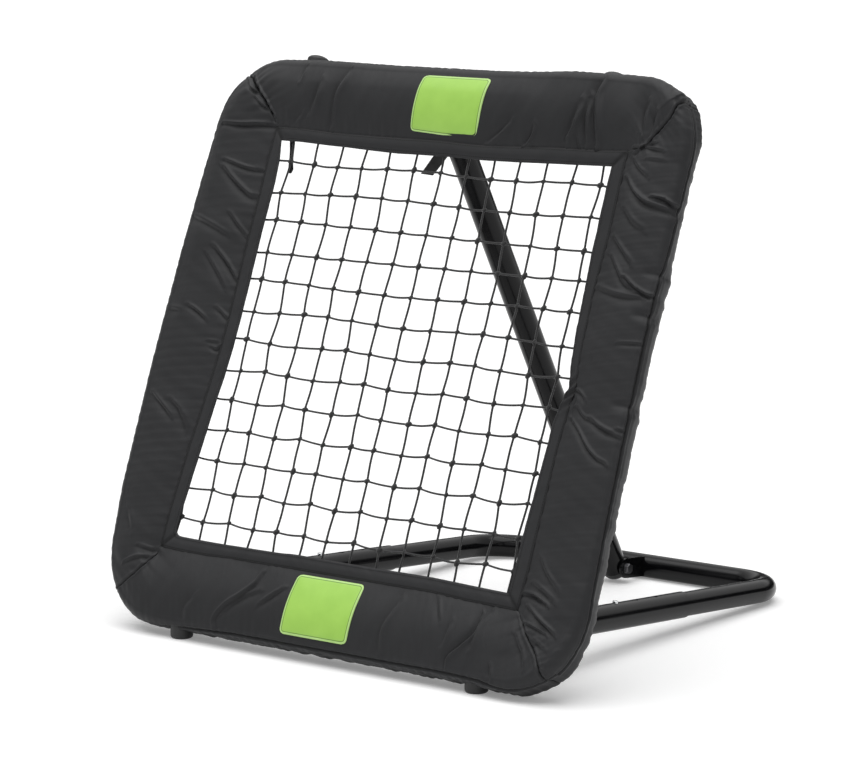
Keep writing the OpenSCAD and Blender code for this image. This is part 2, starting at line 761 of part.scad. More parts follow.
// Leaf spring bent to a V inside the rear tube, with the button formed on its upper end
module snap_clip(side) {
    leaf_t = 0.9;
    leaf_w = 9;
    top = rear_r - rear_wall - 3;
    low = -(rear_r - rear_wall) + button_press + 1;
    bend = 46;
    dome = sleeve_r + 2.4 - top;
    button_r = button_d / 2;
    leaf = concat([[-7, top], [6, top]], [for (a = [60 : -20 : -60]) [bend + 3 * cos(a), -3 + 3 * sin(a)]], [[6, low]]);
    color("#b9bcc0") at_base() translate([side * leg_x, hole_at, 0]) {
        across(leaf_w) polygon(ribbon(leaf, leaf_t));
        translate([0, 0, top]) rotate_extrude() polygon(concat([[0, 0], [button_r, 0]],
            [for (a = [0 : 15 : 75]) [button_r * cos(a), dome + 1.2 * sin(a)]], [[0, dome + 1.2 * sin(75)]]));
    }
}

module snap_clip_left() { snap_clip(-1); }

module snap_clip_right() { snap_clip(1); }

// ---- Strut ----

module strut_tube() {
    color("#17181a") at_strut() difference() {
        translate([0, 0, -strut_l - end_reach]) cylinder(r = strut_r, h = strut_l + 2 * end_reach);
        translate([0, 0, -strut_l - end_reach - 1])
            cylinder(r = strut_r - strut_wall, h = strut_l + 2 * end_reach + 2);
        rod_x(bolt_r + running, strut_d + 2);
        translate([0, 0, -strut_l]) rod_x(bolt_r + strut_hole_play, strut_d + 2);
    }
}

module strut_plug_top() { color("#121213") at_strut() tube_plug(strut_r, strut_wall, bolt_r + running); }

module strut_plug_bottom() {
    color("#121213") at_strut() translate([0, 0, -strut_l]) rotate([180, 0, 0])
        tube_plug(strut_r, strut_wall, bolt_r + strut_hole_play);
}

lower_tube();
upper_tube();
tube_couplers();
coupler_screws();
hinge_bracket_left();
hinge_bracket_right();
top_bracket();
hinge_bolts();
hinge_nuts();
hinge_washers();
top_bolt();
top_nut();
top_washers();
foot_left();
foot_right();
top_cap_left();
top_cap_right();
net();
net_border_rope();
net_ties();
lace_tail();
cover_straps();
loose_strap();
foam_bottom();
foam_top();
foam_left();
foam_right();
cover_bottom();
cover_top();
cover_left();
cover_right();
patch_top();
patch_bottom();
sleeve_left();
sleeve_right();
sleeve_plug_left();
sleeve_plug_right();
rear_tube();
strut_clevis();
strut_bolt();
strut_nut();
strut_washers();
snap_clip_left();
snap_clip_right();
strut_tube();
strut_plug_top();
strut_plug_bottom();
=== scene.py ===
import math
import random

import bpy
import numpy as np
from mathutils import Matrix, Vector


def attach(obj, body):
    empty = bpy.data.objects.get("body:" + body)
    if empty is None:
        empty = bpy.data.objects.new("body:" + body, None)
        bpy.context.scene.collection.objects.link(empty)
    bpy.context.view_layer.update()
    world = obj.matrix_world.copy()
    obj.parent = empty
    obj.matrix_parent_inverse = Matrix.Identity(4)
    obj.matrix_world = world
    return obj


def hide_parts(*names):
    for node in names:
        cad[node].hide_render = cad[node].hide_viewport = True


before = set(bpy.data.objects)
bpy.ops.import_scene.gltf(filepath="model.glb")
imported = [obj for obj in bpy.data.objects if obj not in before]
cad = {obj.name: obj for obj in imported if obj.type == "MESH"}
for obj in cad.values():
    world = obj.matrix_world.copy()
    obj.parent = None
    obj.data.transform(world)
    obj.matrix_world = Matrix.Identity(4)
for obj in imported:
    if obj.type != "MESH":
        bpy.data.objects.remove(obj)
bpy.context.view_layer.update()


# ---- Viewpoint ----
# A standing person's view from the right front, a little above the top of the frame.
# The long lens keeps the square of the frame nearly parallel.
bpy.ops.object.camera_add(location=(3.1551, -4.1629, 1.1695))
viewer = bpy.context.object
backward = Vector((0.6103, -0.7768, 0.1555)).normalized()
rightward = Vector((0, 0, 1)).cross(backward).normalized()
turn = Matrix((rightward, backward.cross(rightward), backward)).transposed()
viewer.rotation_euler = turn.to_euler()
viewer.data.sensor_width = 36
viewer.data.lens = 157.08
viewer.data.clip_end = 60
bpy.context.scene.camera = viewer


# ---- Lacing cord, its loose end ----
# A soft braided polyester cord laces the net to its border rope. Its end was left long: it is
# looped tight round the rope beside the upper left corner, and hangs flat and once turned over.
LEAN = math.radians(21.1)
TUBE_Z = 38.0
FRAME_Y = -353.942
HALF = 389.0


def in_frame(points):
    """Points of the frame's own plane space (x, rearward, up the frame) in mm, as world metres."""
    p = np.asarray(points, float)
    y = FRAME_Y + p[..., 1] * math.cos(LEAN) + p[..., 2] * math.sin(LEAN)
    z = TUBE_Z - p[..., 1] * math.sin(LEAN) + p[..., 2] * math.cos(LEAN)
    return np.stack([p[..., 0], y, z], -1) / 1000


def mesh_piece(name, verts, faces, uvs, material):
    """A new closed piece with its faces turned outwards; uvs holds a pair for each corner of each face."""
    mesh = bpy.data.meshes.new(name)
    mesh.from_pydata([tuple(v) for v in verts], [], faces)
    layer = mesh.uv_layers.new(name="UVMap")
    layer.data.foreach_set("uv", np.asarray(uvs, np.float32).ravel())
    mesh.polygons.foreach_set("use_smooth", [True] * len(mesh.polygons))
    mesh.materials.append(material)
    piece = bpy.data.objects.new(name, mesh)
    bpy.context.scene.collection.objects.link(piece)
    bpy.ops.object.select_all(action="DESELECT")
    bpy.context.view_layer.objects.active = piece
    piece.select_set(True)
    bpy.ops.object.mode_set(mode="EDIT")
    bpy.ops.mesh.select_all(action="SELECT")
    bpy.ops.mesh.normals_make_consistent(inside=False)
    bpy.ops.object.mode_set(mode="OBJECT")
    return piece


def node_tree(name):
    """A new material with its node tree and its Principled shader."""
    material = bpy.data.materials.new(name)
    material.use_nodes = True
    tree = material.node_tree
    return material, tree, tree.nodes["Principled BSDF"]


def feed(entry, value):
    """Links an output to a node's input, or sets the input's own value."""
    if isinstance(value, bpy.types.NodeSocket):
        entry.id_data.links.new(value, entry)
    else:
        entry.default_value = value


def put(node, **values):
    """Sets a node's attributes and feeds its inputs, by name."""
    for key, value in values.items():
        if hasattr(node, key):
            setattr(node, key, value)
        else:
            feed(node.inputs[key.replace("_", " ")], value)
    return node


def add(tree, kind, output, *entries, **values):
    """One output of a new shader node; entries feed its first inputs, and values go in by name."""
    node = put(tree.nodes.new("ShaderNode" + kind), **values)
    for entry, value in zip(node.inputs, entries):
        feed(entry, value)
    return node.outputs[output]


def bumps(tree, height, strength, distance, **under):
    """The normals of a fine relief."""
    return add(tree, "Bump", "Normal", Height=height, Strength=strength, Distance=distance, **under)


def ramp(tree, source, *stops):
    """The colour that (position, colour) stops give for source."""
    colour = add(tree, "ValToRGB", "Color", Fac=source)
    elements = colour.node.color_ramp.elements
    for element, (place, shade) in zip(elements, (stops[0], stops[-1])):
        element.position, element.color = place, (*shade, 1)
    for place, shade in stops[1:-1]:
        elements.new(place).color = (*shade, 1)
    return colour


def tone(colour, factor):
    """A lighter or darker colour."""
    return tuple(c * factor for c in colour)


def cord_material(name, dark, light, pitch):
    """Braided or twisted cord: slanting strands on the piece's own UV map, with a fuzzy sheen."""
    material, tree, shader = node_tree(name)
    lay = add(tree, "Mapping", "Vector", Vector=add(tree, "TexCoord", "UV"), Rotation=(0, 0, 0.7))
    strands = add(tree, "TexWave", "Fac", wave_type="BANDS", Vector=lay, Scale=pitch, Distortion=1.2, Detail=2)
    put(shader, Base_Color=ramp(tree, strands, (0.15, dark), (0.85, light)),
        Normal=bumps(tree, strands, 0.5, 0.0006), Roughness=0.75, Sheen_Weight=0.25)
    return material


def spaced(rows, count):
    """The columns of a short table, each interpolated at count even steps through its rows."""
    rows = np.array(rows, float)
    spots = np.linspace(0, len(rows) - 1, count)
    return [np.interp(spots, range(len(rows)), column) for column in rows.T]


def tube_faces(at, sides, closed=False):
    """Faces and UV pairs of a skin over rings of points, capped if it is open; at holds each ring's U."""
    rings = len(at) - closed
    faces, uvs = [], []
    for k in range(len(at) - 1):
        m = (k + 1) % rings
        for j in range(sides):
            n = (j + 1) % sides
            faces.append((k * sides + j, k * sides + n, m * sides + n, m * sides + j))
            low, high = j / sides, (j + 1) / sides
            uvs += [(at[k], low), (at[k], high), (at[k + 1], high), (at[k + 1], low)]
    if not closed:
        faces += [tuple(range(sides - 1, -1, -1)), tuple(range((rings - 1) * sides, rings * sides))]
        uvs += [(0, 0)] * (2 * sides)
    return faces, uvs


lace_black = cord_material("lace_black", (0.006, 0.006, 0.007), (0.024, 0.024, 0.026), 1.0)
LACE_LONG = 96.0
LACE_R = 1.7
rope_point = in_frame([111 - HALF, -14, 741])
lace_top = rope_point - np.array([0, 0, 0.00655])
# How far it is aside (mm) and down (share of its length), then its half width and half thickness
aside, down, wide, thick = spaced([
    (0, 0, LACE_R, LACE_R), (0.3, -0.14, LACE_R, LACE_R), (0.1, -0.28, 3, LACE_R), (-0.4, -0.42, 4.6, 1.4),
    (-1, -0.55, 5, 1.2), (-1.8, -0.66, 3.6, 2.6), (-3, -0.76, 2.6, 3.6), (-4, -0.86, 4, 2.2), (-4.4, -0.94, 5, 1.2),
    (-5.6, -1, 2, 1)], 37)
for values in (aside, down):
    values[1:-1] = (values[:-2] + 2 * values[1:-1] + values[2:]) / 4
lace_path = lace_top + np.stack([aside, 0 * aside, down * LACE_LONG], -1) / 1000
a = np.arange(20) * math.pi / 10
ring = np.stack([np.outer(wide, np.cos(a)), np.outer(thick, np.sin(a) * (1 + 0.12 * np.cos(2 * a))),
                 np.outer(wide, 0 * a)], -1)
lace_faces, lace_uvs = tube_faces(np.arange(37) / 2, 20)
lace_end = mesh_piece("lace_end", (lace_path[:, None] + ring / 1000).reshape(-1, 3), [f[::-1] for f in lace_faces],
                      lace_uvs, lace_black)

bpy.ops.object.select_all(action="DESELECT")
bpy.ops.mesh.primitive_torus_add(major_radius=(3.1 + LACE_R) / 1000, minor_radius=LACE_R / 1000, major_segments=40,
                                 minor_segments=14, location=rope_point, rotation=(0, math.pi / 2, 0))
lace_loop = bpy.context.object
lace_loop.name = "lace_loop"
bpy.ops.object.transform_apply()
bpy.ops.object.shade_smooth()
lace_loop.data.materials.append(lace_black)

for piece in (lace_end, lace_loop):
    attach(piece, "main_frame")
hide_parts("lace_tail")


# ---- Frame tubes and their joints ----
# Bent steel tube, powder-coated gloss black in one coat. The two halves slip over a plain steel
# coupler inside each upright and are held by round-head screws.
def painted_steel(name, colour, rough, shine):
    """Gloss powder coat: a faint orange peel, dust in patches, and small rubbed places."""
    material, tree, shader = node_tree(name)
    place = add(tree, "TexCoord", "Object")
    peel = add(tree, "TexNoise", "Fac", Vector=place, Scale=420, Detail=2)
    dust = add(tree, "TexNoise", "Fac", Vector=place, Scale=9, Detail=6)
    gloss = add(tree, "MapRange", "Result", Value=dust, From_Min=0.3, From_Max=0.8, To_Min=rough, To_Max=rough + 0.1)
    put(shader, Base_Color=ramp(tree, dust, (0.35, colour), (0.75, tuple(c * 1.8 + 0.0008 for c in colour))),
        Roughness=gloss, Normal=bumps(tree, peel, 0.08, 0.0004), Specular_IOR_Level=shine)
    return material


def coat(material, *names):
    """Carried-over CAD nodes take a finished material."""
    for name in names:
        cad[name].data.materials.clear()
        cad[name].data.materials.append(material)


tube_black = painted_steel("tube_black", (0.0022, 0.0022, 0.0026), 0.15, 0.2)
coat(tube_black, "lower_tube", "upper_tube")


def bare_steel(name, colour, rough, scratch):
    """Zinc-plated steel: fine directional scratches and a slightly cloudy plating."""
    material, tree, shader = node_tree(name)
    stretch = add(tree, "Mapping", "Vector", Vector=add(tree, "TexCoord", "Object"),
                  Scale=(scratch, scratch, scratch * 0.08))
    lines = add(tree, "TexNoise", "Fac", Vector=stretch, Scale=60, Detail=5)
    put(shader, Base_Color=ramp(tree, lines, (0.3, tone(colour, 0.8)), (0.7, colour)),
        Normal=bumps(tree, lines, 0.15, 0.0003), Metallic=1, Roughness=rough)
    return material


coat(bare_steel("coupler_steel", (0.42, 0.43, 0.44), 0.38, 8), "tube_couplers")
coat(bare_steel("screw_black", (0.06, 0.06, 0.065), 0.35, 12), "coupler_screws")


# ---- Brackets and bolts ----
# U-shaped steel brackets welded to the tubes and coated with them. Zinc-plated hexagon bolts with
# washers and lock nuts are the pins of the hinges.
bracket_black = painted_steel("bracket_black", (0.003, 0.003, 0.0034), 0.2, 0.22)
coat(bracket_black, "hinge_bracket_left", "hinge_bracket_right", "top_bracket")
bolt_zinc = bare_steel("bolt_zinc", (0.2, 0.2, 0.21), 0.32, 14)
coat(bolt_zinc, "hinge_bolts", "hinge_nuts", "hinge_washers", "top_bolt", "top_nut", "top_washers")


# ---- Feet and top caps ----
# Moulded black rubber: a block that hugs the tube, with a barbed spigot in a hole of the tube.
def moulded(name, colour, bloom, grain, relief, rough):
    """A moulded surface: paler where a slow noise is high, with a fine tooled grain."""
    material, tree, shader = node_tree(name)
    place = add(tree, "TexCoord", "Object")
    spots = add(tree, "TexNoise", "Fac", Vector=place, Scale=bloom[0], Detail=bloom[1])
    fine = add(tree, "TexNoise", "Fac", Vector=place, Scale=grain[0], Detail=grain[1])
    put(shader, Base_Color=ramp(tree, spots, (0.3, colour), bloom[2]), Normal=bumps(tree, fine, *relief),
        Roughness=rough)
    return material


FOOT_BLACK = (0.012, 0.012, 0.0125)
foot_rubber = moulded("foot_rubber", FOOT_BLACK, (40, 4, (0.75, tone(FOOT_BLACK, 1.7))), (700, 3), (0.2, 0.0004), 0.55)
coat(foot_rubber, "foot_left", "foot_right", "top_cap_left", "top_cap_right")


# ---- Net ----
# Twisted polyester twine knotted into square meshes of about 45 mm, tied to a border rope.
# The knots stray a few millimetres, and the strands hang a little between them.
NET_Y = -14.0
COLS = 16
MESH_H = 44.0
MESH_W = MESH_H * 1.027
PULL = 13.0
NET_HALF = 352.0
TWINE_R = 1.55


def stray(i, k, phase):
    """How far a knot lies off its grid, by the same rule as the solid net."""
    if i in (0, COLS) or k in (0, COLS):
        return 0
    return 2.4 * math.sin(math.radians(i * 97 + k * 151 + i * k * 23 + phase))


def knot(i, k):
    """The centre of a knot in the frame's plane, in mm."""
    x = -NET_HALF if i == 0 else NET_HALF if i == COLS else (i - COLS / 2) * MESH_W + PULL
    return x + stray(i, k, 0), HALF + (k - COLS / 2) * MESH_H + stray(i, k, 75)


def band(path, across, half_w, half_t, sides, closed=False, square=1.0, strands=0, lay=0.0):
    """A cord or strap swept along a path in mm: half_w to the side named across, half_t the other way.

    square below 1 makes its section a flat strap; strands and lay twist that many ropes round it.
    """
    path = np.asarray(path, float)
    ahead = np.roll(path, -1, 0) - np.roll(path, 1, 0) if closed else np.gradient(path, axis=0)
    ahead /= np.linalg.norm(ahead, axis=1)[:, None]
    up = np.cross(ahead, across)
    up /= np.linalg.norm(up, axis=1)[:, None]
    over = np.cross(up, ahead)
    along = np.concatenate([[0], np.cumsum(np.linalg.norm(np.roll(path, -1, 0) - path, axis=1))])
    a = np.arange(sides) * 2 * math.pi / sides
    cos, sin = np.cos(a), np.sin(a)
    cos, sin = np.sign(cos) * np.abs(cos) ** square, np.sign(sin) * np.abs(sin) ** square
    swell = np.ones((len(path), sides))
    if strands:
        swell = 1 + 0.13 * np.cos(strands * (a[None, :] - along[:-1, None] * lay))
    ring = over[:, None] * (half_w * cos)[None, :, None] + up[:, None] * (half_t * sin)[None, :, None]
    verts = (path[:, None] + ring * swell[..., None]).reshape(-1, 3)
    return verts, *tube_faces((along if closed else along[:-1]) / 4, sides, closed)


def joined(parts):
    """The points, faces and UV pairs of many parts as those of one mesh."""
    starts = np.cumsum([0] + [len(verts) for verts, _, _ in parts]).tolist()
    faces = [tuple(start + i for i in face) for start, part in zip(starts, parts) for face in part[1]]
    return np.concatenate([part[0] for part in parts]), faces, [uv for part in parts for uv in part[2]]


net_parts = []
t = np.arange(9 * COLS + 1) / 9
k = np.minimum(t.astype(int), COLS - 1)
for line in range(1, COLS):
    for upright in (True, False):
        x, z = np.transpose([knot(line, j) if upright else knot(j, line) for j in range(COLS + 1)])
        sway = 0.9 * np.sin(line * 2.1 + k * 1.7) if upright else -1.1 - 0.6 * np.sin(line + k * 2.3)
        bow = sway * np.sin(math.pi * (t - k))
        over = 0.7 * np.cos(math.pi * (line + t)) * (1 if upright else -1)
        path = np.stack([np.interp(t, range(COLS + 1), x) + bow * upright, NET_Y + over,
                         np.interp(t, range(COLS + 1), z) + bow * (not upright)], -1)
        net_parts.append(band(path, [0, 1, 0], TWINE_R, TWINE_R, 6))

# A knot's five rings: place along it and radius
KNOT_ROWS = np.array([(-3.6, 0.9), (-2.2, 2.6), (0.0, 3.1), (2.2, 2.6), (3.6, 0.9)])
turns = np.arange(8) * math.pi / 4 + np.arange(5)[:, None] * 0.3
h, r = KNOT_ROWS[:, :1], KNOT_ROWS[:, 1:]
ball = np.stack([1.3 * h + 0 * turns, 0.95 * r * np.sin(turns), 1.12 * r * np.cos(turns)], -1).reshape(-1, 3)
knot_faces, _ = tube_faces(range(5), 8)
knot_uvs = [(0.3 * j, 0.3) for face in knot_faces for j in range(len(face))]
for i in range(1, COLS):
    for k in range(1, COLS):
        x, z = knot(i, k)
        spin = 0.78 + 0.5 * math.sin(i * 3.1 + k * 1.3)
        c, s = math.cos(spin), math.sin(spin)
        p, q, w = (ball * (1.0 + 0.16 * math.sin(i * 1.7 + k * 2.9))).T
        net_parts.append((np.stack([x + p * c - w * s, NET_Y + q, z + p * s + w * c], -1), knot_faces, knot_uvs))

net_verts, net_faces, net_uvs = joined(net_parts)
twine_black = cord_material("twine_black", (0.003, 0.003, 0.0034), (0.01, 0.01, 0.011), 1.0)
net_piece = mesh_piece("net_knotted", in_frame(net_verts), net_faces, net_uvs, twine_black)
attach(net_piece, "main_frame")
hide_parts("net")


# ---- Border rope and elastic ties ----
# A three-strand rope runs through the outer meshes. Sixteen loops of covered elastic hold it to
# the tube, four on each side, so that the net gives when a ball meets it.
def on_side(side, x, y, z):
    """A padded side's own space (along, rearward, inward) in the frame's plane space."""
    places = {"bottom": (x, y, z), "top": (-x, y, 2 * HALF - z), "left": (z - HALF, y, HALF - x),
              "right": (HALF - z, y, HALF + x)}
    return np.stack(places[side], -1)


ROPE_BEND = 12.0
ROPE_R = 2.75
inside = NET_HALF - ROPE_BEND
arcs = []
for turn, (cx, cz) in enumerate([(1, -1), (1, 1), (-1, 1), (-1, -1)]):
    a = np.radians(np.linspace(-90, 0, 9) + turn * 90)
    arcs.append(np.stack([cx * inside + ROPE_BEND * np.cos(a), NET_Y + 0 * a,
                          HALF + cz * inside + ROPE_BEND * np.sin(a)], -1))
rope_path = []
for arc, after in zip(arcs, arcs[1:] + arcs[:1]):
    rope_path += [arc, arc[-1] + (after[0] - arc[-1]) * np.linspace(0, 1, 226)[1:-1, None]]
rope = band(np.concatenate(rope_path), [0, 1, 0], ROPE_R, ROPE_R, 15, closed=True, strands=3, lay=0.26)
rope_black = cord_material("rope_black", (0.006, 0.006, 0.0065), (0.02, 0.02, 0.021), 1.4)
rope_piece = mesh_piece("border_rope", in_frame(rope[0]), *rope[1:], rope_black)
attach(rope_piece, "main_frame")
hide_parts("net_border_rope")


def circle(radius, angles, y=0, z=0):
    """Points round (y, z) in the plane across a padded side."""
    return np.stack([0 * angles, y + radius * np.cos(angles), z + radius * np.sin(angles)], -1)


def on_tube(name, part, side, along, material):
    """A band as a piece of its own, at a place along a side of the frame."""
    x, y, z = part[0].T
    return mesh_piece(name, in_frame(on_side(side, x + along, y, z)), *part[1:], material)


elastic_black = cord_material("elastic_black", (0.008, 0.008, 0.009), (0.028, 0.028, 0.03), 2.2)
ROPE_AT = np.array([NET_Y, 37.0])
toward = math.atan2(ROPE_AT[1], ROPE_AT[0])
round_tube, round_rope = 20.3, 4.3
spread = math.acos((round_tube - round_rope) / np.linalg.norm(ROPE_AT))
tie_path = np.concatenate([
    circle(round_tube, np.linspace(toward + spread, toward + 2 * math.pi - spread, 40)),
    circle(round_rope, np.linspace(toward - spread, toward + spread, 14), *ROPE_AT)])
tie = band(tie_path, [1, 0, 0], 1.95, 1.05, 12, closed=True, square=0.7)
first_tie = None
for side in ("bottom", "top", "left", "right"):
    for place in (-4.5, -2.5, 2.5, 4.5):
        along = {"bottom": place * MESH_W + PULL, "top": -place * MESH_W - PULL}.get(side, place * MESH_H)
        loop = on_tube("tie_%s_%d" % (side, int(place * 2 + 9)), tie, side, along, elastic_black)
        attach(loop, "main_frame")
        first_tie = first_tie or loop
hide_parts("net_ties")


# ---- Webbing straps ----
# Eight loops of woven polypropylene webbing, closed by a touch tape, hold the cover to the tubes.
# One more beside the bracket has a loose end, which hangs behind the top tube and is folded aside.
def webbing(name, colour):
    """Flat woven webbing: chevron ribs along the strap, on the UV map."""
    material, tree, shader = node_tree(name)
    ribs = add(tree, "TexWave", "Fac", bands_direction="X", Vector=add(tree, "TexCoord", "UV"), Scale=0.9,
               Distortion=0.6)
    put(shader, Base_Color=ramp(tree, ribs, (0.2, tone(colour, 0.6)), (0.8, colour)),
        Normal=bumps(tree, ribs, 0.5, 0.0005), Roughness=0.62, Sheen_Weight=0.08)
    return material


webbing_black = webbing("webbing_black", (0.016, 0.016, 0.017))
STRAP_HALF = 11.0
STRAP_R, LAP_R = 19.85, 20.9
ring = band(circle(STRAP_R, np.arange(64) * math.pi / 32), [1, 0, 0], STRAP_HALF, 0.68, 20, closed=True, square=0.3)
a = np.linspace(0.2, 1.4, 18)
lap = band(circle(LAP_R + 0.4 * (a < 0.3), a), [1, 0, 0], STRAP_HALF - 0.4, 0.5, 20, square=0.3)
first_strap = None
for side in ("bottom", "top", "left", "right"):
    for place in (-3.5, 3.5):
        for part, label in ((ring, "loop"), (lap, "lap")):
            name = "strap_%s_%s_%d" % (label, side, place > 0)
            strap = on_tube(name, part, side, place * MESH_H, webbing_black)
            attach(strap, "main_frame")
            first_strap = first_strap or strap
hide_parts("cover_straps")


def strip_faces(at, wide, across, closed=False):
    """Faces and UV pairs of two layers of rings, each wide points wide; at holds each ring's U."""
    rings = len(at) - closed
    faces, uvs = [], []
    quads = [(layer * wide + j, 1, j / (wide - 1) * across, (j + 1) / (wide - 1) * across)
             for layer in (0, 1) for j in range(wide - 1)]
    quads += [(0, wide, 0, 0.001), (wide - 1, wide, 0, 0.001)]
    for k in range(len(at) - 1):
        a, b = 2 * wide * k, 2 * wide * ((k + 1) % rings)
        for p, step, low, high in quads:
            faces.append((a + p, a + p + step, b + p + step, b + p))
            uvs += [(at[k], low), (at[k], high), (at[k + 1], high), (at[k + 1], low)]
    for a in () if closed else (0, 2 * wide * (rings - 1)):
        faces += [(a + j, a + j + 1, a + wide + j + 1, a + wide + j) for j in range(wide - 1)]
        uvs += [(0, 0)] * 4 * (wide - 1)
    return faces, uvs


# Half of the strut, its play and the bracket's plate, then half of the strap and some room
BESIDE = 19 + 0.5 + 3 + 11 + 4.5
loose_loop = on_tube("loose_strap_loop", (ring[0] * (1, 1, -1), *ring[1:]), "top", BESIDE, webbing_black)
tube_at = in_frame([-BESIDE, 0, 2 * HALF]) * 1000
hang = math.radians(2)
aside, drop = spaced([(0, -1), (0, -20), (0, -50), (0, -80), (0, -84), (-1.5, -87), (-5, -91), (-12, -98.5),
                      (-22, -110), (-31, -120), (-34.5, -124)], 46)
wide = np.interp(-drop, [0, 82, 92, 124], [10.9, 10.9, 12.6, 10.4])
d, t = drop[:, None, None], np.arange(9) / 4 - 1
bow = 0.7 * np.sin(d / 17) + 0.5 * t * np.sin(d / 23 + 1) + 1.3 * np.exp(-((d + 88) / 3) ** 2)
deep = 19.8 + bow * np.minimum(1, -d / 30) + np.array([[-0.5], [0.5]]) * (1.25 - 0.5 * (np.abs(t) > 0.9))
tail = tube_at + np.stack([aside[:, None, None] + t * wide[:, None, None] + 0 * deep,
                           deep * math.cos(hang) - d * math.sin(hang),
                           d * math.cos(hang) - deep * math.sin(hang) - 0.6 * t * np.maximum(0, -d - 86) / 38], -1)
loose_tail = mesh_piece("loose_strap_tail", tail.reshape(-1, 3) / 1000, *strip_faces(-drop / 4, 9, 1), webbing_black)
for strap in (loose_loop, loose_tail):
    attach(strap, "main_frame")
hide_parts("loose_strap")


# ---- Padding ----
# Four padded sleeves of satin-finish polyester over polyethylene foam, sewn together at the mitres.
# A gusset, gathered by elastic, closes round the outside of the tube; a flat hem edges the opening.
OUTER = -31.0
SEAM = 75.0
BEND = 85.0
STRAIGHT = 608.0
WRAP = 21.6
FRONT = 29.0
HEM_Y = -21.1
EDGE_R = 14.0
COLUMNS = 460


def unit(x):
    """x held between 0 and 1."""
    return np.clip(x, 0, 1)


def crown(z):
    """How far the padding's face stands in front of the tube's centre, at z from the tube."""
    t = unit((z - OUTER - EDGE_R) / (SEAM - OUTER - EDGE_R))
    return FRONT * (1 - t) - HEM_Y * t + 7 * np.sin(math.pi * t)


def section():
    """The closed outline of one padded side: its points, outward normals and length so far."""
    pts = [(23.2, -3.0 * k) for k in range(5)]
    pts += [(7.2 + 16 * math.cos(a), -15 - 16 * math.sin(a)) for a in np.radians(np.linspace(0, 90, 9))]
    pts += [(7.2 - 22.2 * k / 20, OUTER) for k in range(1, 20)]
    edge_at = len(pts)
    pts += [(-(15 + 14 * math.sin(a)), -17 - 14 * math.cos(a)) for a in np.radians(np.linspace(0, 90, 24))]
    pts += [(-float(crown(z)), z) for z in np.linspace(-17, SEAM, 52)[1:]]
    hem_at = len(pts) - 1
    pts += [(-20.2, SEAM + 0.3), (-19.7, SEAM - 2)]
    pts += [(-19.9 - 1.7 * (1 - z / 69), z) for z in np.linspace(69, 0, 18)]
    pts += [(WRAP * math.cos(a), WRAP * math.sin(a)) for a in np.radians(np.linspace(180, 355, 22)[1:])]
    pts = np.array(pts)
    after = np.roll(pts, -1, 0)
    d = after - np.roll(pts, 1, 0)
    normal = np.stack([-d[:, 1], d[:, 0]], -1)
    normal /= np.linalg.norm(normal, axis=1)[:, None]
    along = np.concatenate([[0], np.cumsum(np.linalg.norm(after - pts, axis=1))[:-1]])
    if np.sum(pts[:, 0] * after[:, 1] - after[:, 0] * pts[:, 1]) > 0:
        normal = -normal
    return pts, normal, along, edge_at, hem_at


ORDER = ("bottom", "right", "top", "left")
# The mitre seam at each side's far end: how much further round a corner the upright side's cloth
# reaches than the other's, as depths from the tube, each with its mm, from the outer edge inwards
MITRE = {
    "bottom": [-31, 13.5, -5, 6, 25, 4.5, 56, 1.5, 74, 0],
    "right": [-31, -8, -25, -10.5, -13, -19.5, 26, -25.5, 47, -19.5, 62, -9, 74, 0],
    "top": [-31, 12, -7, 20, 33, 19.5, 62, 9, 74, 0],
    "left": [-31, -1.5, 18, 6, 62, 6, 74, 0],
}


def beyond(side, end):
    """The side that meets this one at its near (-1) or far (1) end."""
    return ORDER[(ORDER.index(side) + end) % 4]


def table(points, at):
    """Values at places, from a short list of places, each with its value."""
    return np.interp(at, points[::2], points[1::2])


# How far the hem's seam lies from the tube, at places along each side
HEM_SEAM = {
    "bottom": [-319, 80, -284, 78, -232, 77.5, -191, 79, 165, 78.5, 227, 75, 287, 74, 311, 73],
    "right": [-316, 77, -291, 76, -263, 74, -225, 74, -141, 72.5, -100, 72.5, -61, 69, -39, 68, -15, 64, 8, 67, 32,
              69, 118, 70.5, 190, 66, 312, 66],
    "top": [-323, 76, -280, 78, -194, 79, -146, 81, -82, 83, -48, 82.5, -7, 80.5, 49, 81, 153, 81, 195, 80, 238, 77.5,
            288, 77],
    "left": [-312, 100, -265, 97, -208, 97, -143, 95, -21, 94.5, 13, 93, 75, 88, 124, 83, 159, 78.5, 191, 76, 230, 73,
             265, 70.5, 309, 70],
}


def seam_end(side, end):
    """How far the hem's seam of the side next to this one is out of line where the two meet."""
    return HEM_SEAM[beyond(side, end)][1 if end > 0 else -1] - SEAM


def eased(t):
    """A share of 0 to 1 with a soft start and end."""
    return t * t * (3 - 2 * t)


